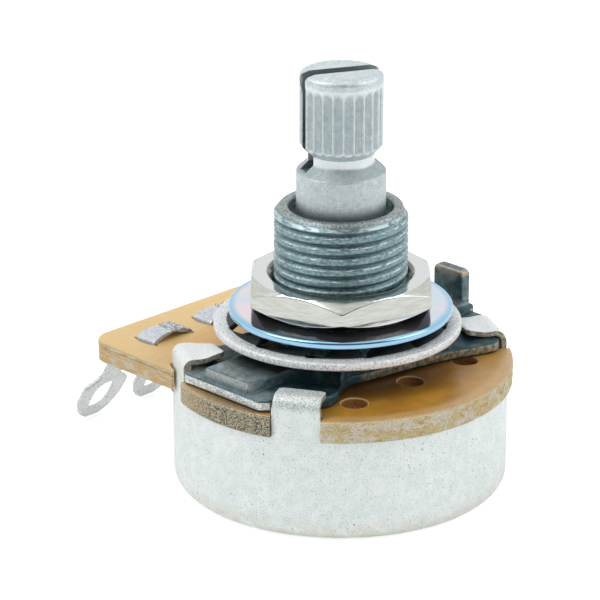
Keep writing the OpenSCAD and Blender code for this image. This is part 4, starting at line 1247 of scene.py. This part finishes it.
def shaft(finish):
    """Shaft: a turned profile, its knurl cut by wide grooves, then the slot carved across its end.

    A groove takes depth * (1 - (a / w) ** 2) ** 0.6 off the radius at an angle a from its middle, where w
    is its half width, and fades out below the plain band at the rounded end.
    """
    head_z = shaft_low[2]
    seat_r = SHAFT_R - 0.575
    ring_low, ring_high = span("retaining_ring")
    groove_low, groove_top = ring_low[2] - 0.02, ring_high[2] + 0.02
    groove_r = SHAFT_R - 0.675
    seat_z, seat_top = hub_low[2], min(hub_high[2], BOARD_Z - 1.08)
    lower = [[0.05, head_z], [seat_r + 0.2, head_z], [seat_r + 0.45, head_z + 0.3],
             [seat_r + 0.45, seat_z - 0.02], [seat_r, seat_z - 0.02], [seat_r, seat_top], [SHAFT_R, seat_top],
             [SHAFT_R, groove_low], [groove_r, groove_low], [groove_r, groove_top], [SHAFT_R, groove_top],
             [SHAFT_R, groove_top + 1]]
    end = rounded([[KNURL_R, KNURL_END_Z - 0.35], [KNURL_R, SHAFT_TOP - 0.22], [KNURL_R - 0.7, SHAFT_TOP],
                   [0.05, SHAFT_TOP]], [0, 0.5, 0.8, 0], closed=False, parts=8)
    knurl_z = np.arange(KNURL_FOOT_Z + 0.05, KNURL_Z + 0.3, 0.05)
    body_z = np.r_[np.linspace(KNURL_Z + 0.3, FLUTE_TOP_Z - 0.4, 12),
                   np.linspace(FLUTE_TOP_Z - 0.36, FLUTE_TOP_Z, 9)]
    knurl_r = np.interp(knurl_z, [KNURL_FOOT_Z, KNURL_Z], [NECK_R, KNURL_R])
    shoulder = rounded([[SHAFT_R, SHOULDER_Z - 0.6], [SHAFT_R, SHOULDER_Z], [NECK_R, NECK_Z],
                        [NECK_R, KNURL_FOOT_Z], [NECK_R + 0.03, KNURL_FOOT_Z + 0.04]],
                       [0, 0.1, 0.15, 0.02, 0], closed=False, parts=4)
    profile = join(lower, [[SHAFT_R, BUSHING_Z - 1.4], [SHAFT_R, BUSHING_Z + 0.6]], shoulder,
                   np.stack([knurl_r, knurl_z], 1), np.stack([np.full_like(body_z, KNURL_R), body_z], 1), end)
    angles = full_turn(FLUTES * 20)
    r, z = profile.T[..., None]
    step, first = 2 * math.pi / FLUTES, math.radians(10)
    half_w = 0.46 * step
    off = np.abs((angles - first + step / 2) % step - step / 2)
    depth = FLUTE_DEPTH * ease(z, FLUTE_TOP_Z + 0.02, FLUTE_TOP_Z - 0.75)
    shape = np.maximum(1 - (off / half_w) ** 2, 0) ** 0.6
    groove = KNURL_R - depth * shape + 0.015 * ripple(angles * 3, z + 0 * off, 0.9, 41) * shape
    flute = (z > KNURL_FOOT_Z) & (z < FLUTE_TOP_Z)
    r = np.where(flute, np.minimum(r, groove), r + 0 * groove)
    made = mesh_object("knurled_shaft", [skin(round_axis(r, z, angles))], [finish])
    clear, flat_depth = SHAFT_R + 0.825, 0.7
    slot = prism(rectangle(-clear, clear, -SLOT_W / 2, SLOT_W / 2) + [0, SLOT_SHIFT], SLOT_Z, SHAFT_TOP + 1)
    seat = prism(rectangle(-clear, clear, -clear, flat_depth - seat_r), seat_z, seat_top)
    carve(made, [skin(spin(slot, SLOT_DEG)), skin(seat)])
    settle(made, "shaft", "shaft_alloy", "shaft")


# The terminals


def lug_path():
    """Side view of a terminal's middle line: under the board, over the bend and down the slope (y, z)."""
    mid_z = BOARD_Z - 0.1 - TERMINAL_T / 2
    start_y = PRONG_Y[0] - 1.2
    bend_y = BOARD_END_Y + 0.5
    mid_r = LUG_BEND_R + TERMINAL_T / 2
    turn_path = arc((bend_y, mid_z - mid_r), mid_r, 90, 90 - LUG_SLOPE, 14)
    slope = math.radians(LUG_SLOPE)
    end_z = lug_low[2] + TERMINAL_T / 2 * math.cos(slope)
    run = (turn_path[-1, 1] - end_z) / math.sin(slope)
    end = turn_path[-1] + run * np.array([math.cos(slope), -math.sin(slope)])
    return join([[start_y, mid_z]], turn_path, [end])


def lug(x, seed):
    """Blade of a solder lug: a strip to the neck, then a ring of rows between the eye and the outline."""
    path = lug_path()
    total = length(path)
    path = refine(path, 0.15)
    half_t = TERMINAL_T / 2
    tip, eye, neck = 0.95, 2.05, LUG_NECK_W / 2
    start = total - 5.4
    near = np.array([[start, -neck], [total - 4.6, -neck], [total - 3.7, -eye], [total - 1.9, -eye],
                     [total - 0.55, -tip - 0.45], [total, -tip * 0.7]])
    near_r = [0, 0.8, 0.5, 0.9, 0.6, 0.3]
    outline = rounded(np.concatenate([near, near[::-1] * [1, -1]]), near_r + near_r[::-1], parts=6)
    outline = refine(outline, 0.16, closed=True)
    middle = np.array([total - 2.35, 0])
    flat = outline - middle
    around = np.arctan2(flat[:, 1], flat[:, 0])
    hole_half_w, hole_half_l = 0.95, 1.5
    straight = hole_half_l - hole_half_w
    cosine, sine = np.abs(np.cos(around)), np.abs(np.sin(around))
    side_r = hole_half_w / np.maximum(sine, 1e-3)
    cap_r = straight * cosine + np.sqrt(np.maximum(hole_half_w ** 2 - (straight * sine) ** 2, 0))
    hole_r = np.where(side_r * cosine < straight, side_r, cap_r)
    hole = np.stack([np.cos(around), np.sin(around)], 1) * hole_r[:, None]
    normal, hole_normal = outward(outline), -outward(hole)

    def flat_row(base, inset, direction, lift):
        return np.c_[base - direction * inset, np.full(len(base), lift)]

    e = 0.07
    rows = [flat_row(hole, 0.0, hole_normal, -half_t + e), flat_row(hole, e, hole_normal, -half_t)]
    rows += [np.c_[hole + (flat - hole) * s, np.full(len(flat), -half_t)] for s in (0.4, 0.75)]
    rows += [flat_row(flat, e, normal, -half_t), flat_row(flat, 0.02, normal, -half_t + 0.03),
             flat_row(flat, 0.0, normal, -half_t + e), flat_row(flat, 0.0, normal, half_t - e),
             flat_row(flat, 0.02, normal, half_t - 0.03), flat_row(flat, e, normal, half_t)]
    rows += [np.c_[hole + (flat - hole) * s, np.full(len(flat), half_t)] for s in (0.75, 0.4)]
    rows += [flat_row(hole, e, hole_normal, half_t), flat_row(hole, 0.0, hole_normal, half_t - e)]
    grid = np.array(rows)
    along, across, lift = grid[..., 0] + middle[0], grid[..., 1], grid[..., 2]
    lift = lift + 0.03 * ripple(along, across, 5, seed)
    y, z = bend(path, along, lift)
    cut_rows = np.isin(np.arange(len(grid)), (5, 6, 7, 13)).astype(int)[:, None]
    eye_skin = skin(np.stack([x + across, y, z], -1), wrap_rows=True, finish=cut_rows)

    slim = 0.012
    section = rounded(rectangle(-neck, neck, -half_t, half_t), 0.06, parts=3)
    section = section * (1 - slim / np.array([neck, half_t]))
    s = np.linspace(0, start + 0.25, 70)[:, None]
    across, lift = section[:, 0] + 0 * s, section[:, 1] + 0 * s
    y, z = bend(path, s + 0 * across, lift + 0.03 * ripple(s, across, 5, seed) * ease(s, start - 1, start))
    strip = skin(np.stack([x + across, y, z], -1), finish=cut_columns(section[:, 0]))
    return [eye_skin, strip]


def cut_columns(across):
    """1 for the faces along the two cut edges of a strip's section, 0 for the others."""
    at_edge = np.abs(across) > 0.98 * np.abs(across).max()
    return (at_edge & np.roll(at_edge, -1)).astype(int)


def prong(x, side, seed, torn):
    """One prong: it stands in its slot and bends in over the board in a low arch, with a ragged end.

    A closed section across the strip is carried along the path; its end is moved on by a ripple, and a
    torn prong is crumpled towards its end too.
    """
    mid = PRONG_HALF - TERMINAL_T / 2
    foot_z, arch = PLATE_Z + 0.1, PRONG_ARCH - TERMINAL_T / 2
    run = mid - 0.05
    drop = (run ** 2 - arch ** 2) / (2 * arch)
    r = drop + arch
    foot_deg = math.degrees(math.asin(drop / r))
    path = join([[mid, BOARD_Z - 0.3]], arc((0.05, foot_z - drop), r, foot_deg, 92, 22))
    path = refine(rounded(path, 0.25, closed=False, parts=3), 0.1)
    total = length(path)
    half_w = (PRONG_Y[1] - PRONG_Y[0]) / 2
    section = refine(rounded(rectangle(-half_w, half_w, -0.15, 0.15), 0.06, parts=2), 0.12, closed=True)
    across, lift = section.T
    s = np.linspace(0, 1, 60)[:, None]
    rough = ripple(across, 0 * across, 0.5, seed) * (0.2 if torn else 0.09)
    reach = total - 0.1 + rough - (0.25 if torn else 0.0) * ease(across, -0.2, 0.9)
    along = s * reach
    crumple = (0.1 if torn else 0.02) * ripple(along * 1.3 + 0 * across, across + 0 * s, 0.7, seed + 1)
    crumple = crumple * ease(s, 0.45, 0.95)
    thin = 1 - 0.45 * ease(s, 0.8, 1.0)
    a, z = bend(path, along, -lift * thin + crumple)
    y = sum(PRONG_Y) / 2 + across * (1 - 0.1 * ease(s, 0.5, 1))
    points = np.stack([x + PRONG_SHIFT_X + side * a, y + 0 * a, z], -1)
    return skin(points, finish=2 if torn else cut_columns(across))


def terminal(name, x, seed, finishes):
    """Sheet under the board with its lug and two prongs."""
    half_t = TERMINAL_T / 2
    mid_z = BOARD_Z - 0.1 - half_t
    left, right = x + PRONG_SHIFT_X - PRONG_HALF, x + PRONG_SHIFT_X + PRONG_HALF
    pad = rounded(rectangle(left, right, *PRONG_Y), 0.2)
    skins = [skin(slab(refine(pad, 0.3, closed=True), mid_z - half_t + 0.01, mid_z + half_t - 0.01, 0.05))]
    skins += lug(x, seed)
    skins += [prong(x, -1, seed + 2, False), prong(x, 1, seed + 5, True)]
    made = mesh_object("solder_lug_" + name, skins, finishes)
    settle(made, "housing", "tinned_terminal", "terminal_" + name)


# Room, light and camera


def coat(node, finish):
    """Gives a solid of the frame its finish."""
    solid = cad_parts[node]
    if not solid.material_slots:
        solid.data.materials.append(finish)
    for place in solid.material_slots:
        place.material = finish


def floor():
    """Pale floor that looks white but keeps the object's shadow."""
    size = 2000
    corners = np.c_[rectangle(-size, size, -size, size), np.zeros(4)] * MM
    mesh = bpy.data.meshes.new("floor")
    mesh.from_pydata(corners.tolist(), [], [(0, 1, 2, 3)])
    material = bpy.data.materials.new("floor_white")
    material.use_nodes = True
    n = Nodes(material.node_tree)
    matt = n.node("ShaderNodeBsdfDiffuse", (0.8, 0.8, 0.8, 1))
    glow = n.node("ShaderNodeEmission", None, n.by_ray(0.6, 0.4, 0.0))
    both = n.node("ShaderNodeAddShader", matt.outputs[0], glow.outputs[0])
    n.node("ShaderNodeOutputMaterial", both.outputs[0])
    mesh.materials.append(material)
    plane = bpy.data.objects.new("floor", mesh)
    bpy.context.scene.collection.objects.link(plane)


def daylight():
    """White surroundings, dimmer as a lamp than they look. Metal shows their front side dark."""
    world = bpy.data.worlds.new("studio")
    bpy.context.scene.world = world
    world.use_nodes = True
    n = Nodes(world.node_tree)
    east, north, up = n.split(n.node("ShaderNodeTexCoord").outputs["Generated"])
    front = n.math("ADD", n.times(east, -AWAY.x), n.times(north, -AWAY.y))
    dark = n.times(n.ramp(front, 0.1, 0.5), n.ramp(up, 0.0, 0.15))
    mirrored = n.math("SUBTRACT", 1.0, n.times(dark, 0.88))
    back = n.node("ShaderNodeBackground", (1, 1, 1, 1), n.by_ray(1.0, mirrored, 0.62))
    n.node("ShaderNodeOutputWorld", back.outputs[0])


VIEW_DEG = 45
ACROSS = Vector((math.cos(math.radians(VIEW_DEG)), -math.sin(math.radians(VIEW_DEG)), 0))
AWAY = Vector((math.sin(math.radians(VIEW_DEG)), math.cos(math.radians(VIEW_DEG)), 0))
UP = Vector((0, 0, 1))


def softbox(name, across, away, up, size, power):
    """Square lamp at a place given to the right of, beyond and above the object, aimed at its middle."""
    data = bpy.data.lights.new(name, "AREA")
    data.size = size * MM
    data.energy = power
    lamp = bpy.data.objects.new(name, data)
    bpy.context.scene.collection.objects.link(lamp)
    lamp.location = (ACROSS * across + AWAY * away + UP * up) * MM
    aim = Vector((0, 0, 12)) * MM
    lamp.rotation_euler = (lamp.location - aim).to_track_quat("Z", "Y").to_euler()


def camera():
    """Long lens above and in front, as the object is seen in the photograph."""
    distance, pitch = 249, math.radians(20.92)
    aim = ACROSS * -2.887 + UP * 13.45
    data = bpy.data.cameras.new("camera")
    data.sensor_width = 36
    data.lens = 210
    data.clip_start, data.clip_end = 10 * MM, 5000 * MM
    seen = bpy.data.objects.new("camera", data)
    bpy.context.scene.collection.objects.link(seen)
    look = AWAY * math.cos(pitch) - UP * math.sin(pitch)
    seen.location = (aim - look * distance) * MM
    seen.rotation_euler = look.to_track_quat("-Z", "Y").to_euler()
    bpy.context.scene.camera = seen


bpy.context.scene.view_settings.view_transform = "Standard"
camera()
daylight()
floor()
softbox("key", -300, -80, 440, 300, 0.9)
softbox("fill", 380, -60, 300, 300, 0.5)

cover(tinned_can(), sheared_tin())
board(laminate())
bushing_plate(dark_zinc(), thread_zinc())
lock_washer(washer_zinc())
dress_washer(bright_zinc())
mounting_nut(nut_nickel())
shaft(shaft_alloy())
lug_finishes = [tinned_terminal(), cut_terminal(), torn_tin()]
for name, place, seed in (("left", -PITCH_X, 50), ("centre", 0.0, 60), ("right", PITCH_X, 70)):
    terminal(name, place, seed, lug_finishes)

silver = silver_film()
coat("resistive_track", carbon_film())
for node in ("track_end_left", "track_end_right", "collector_ring"):
    coat(node, silver)
coat("thrust_washer", fibre())
coat("retaining_ring", spring_steel())
coat("rotor", rotor_resin())
coat("wiper", spring_bronze())
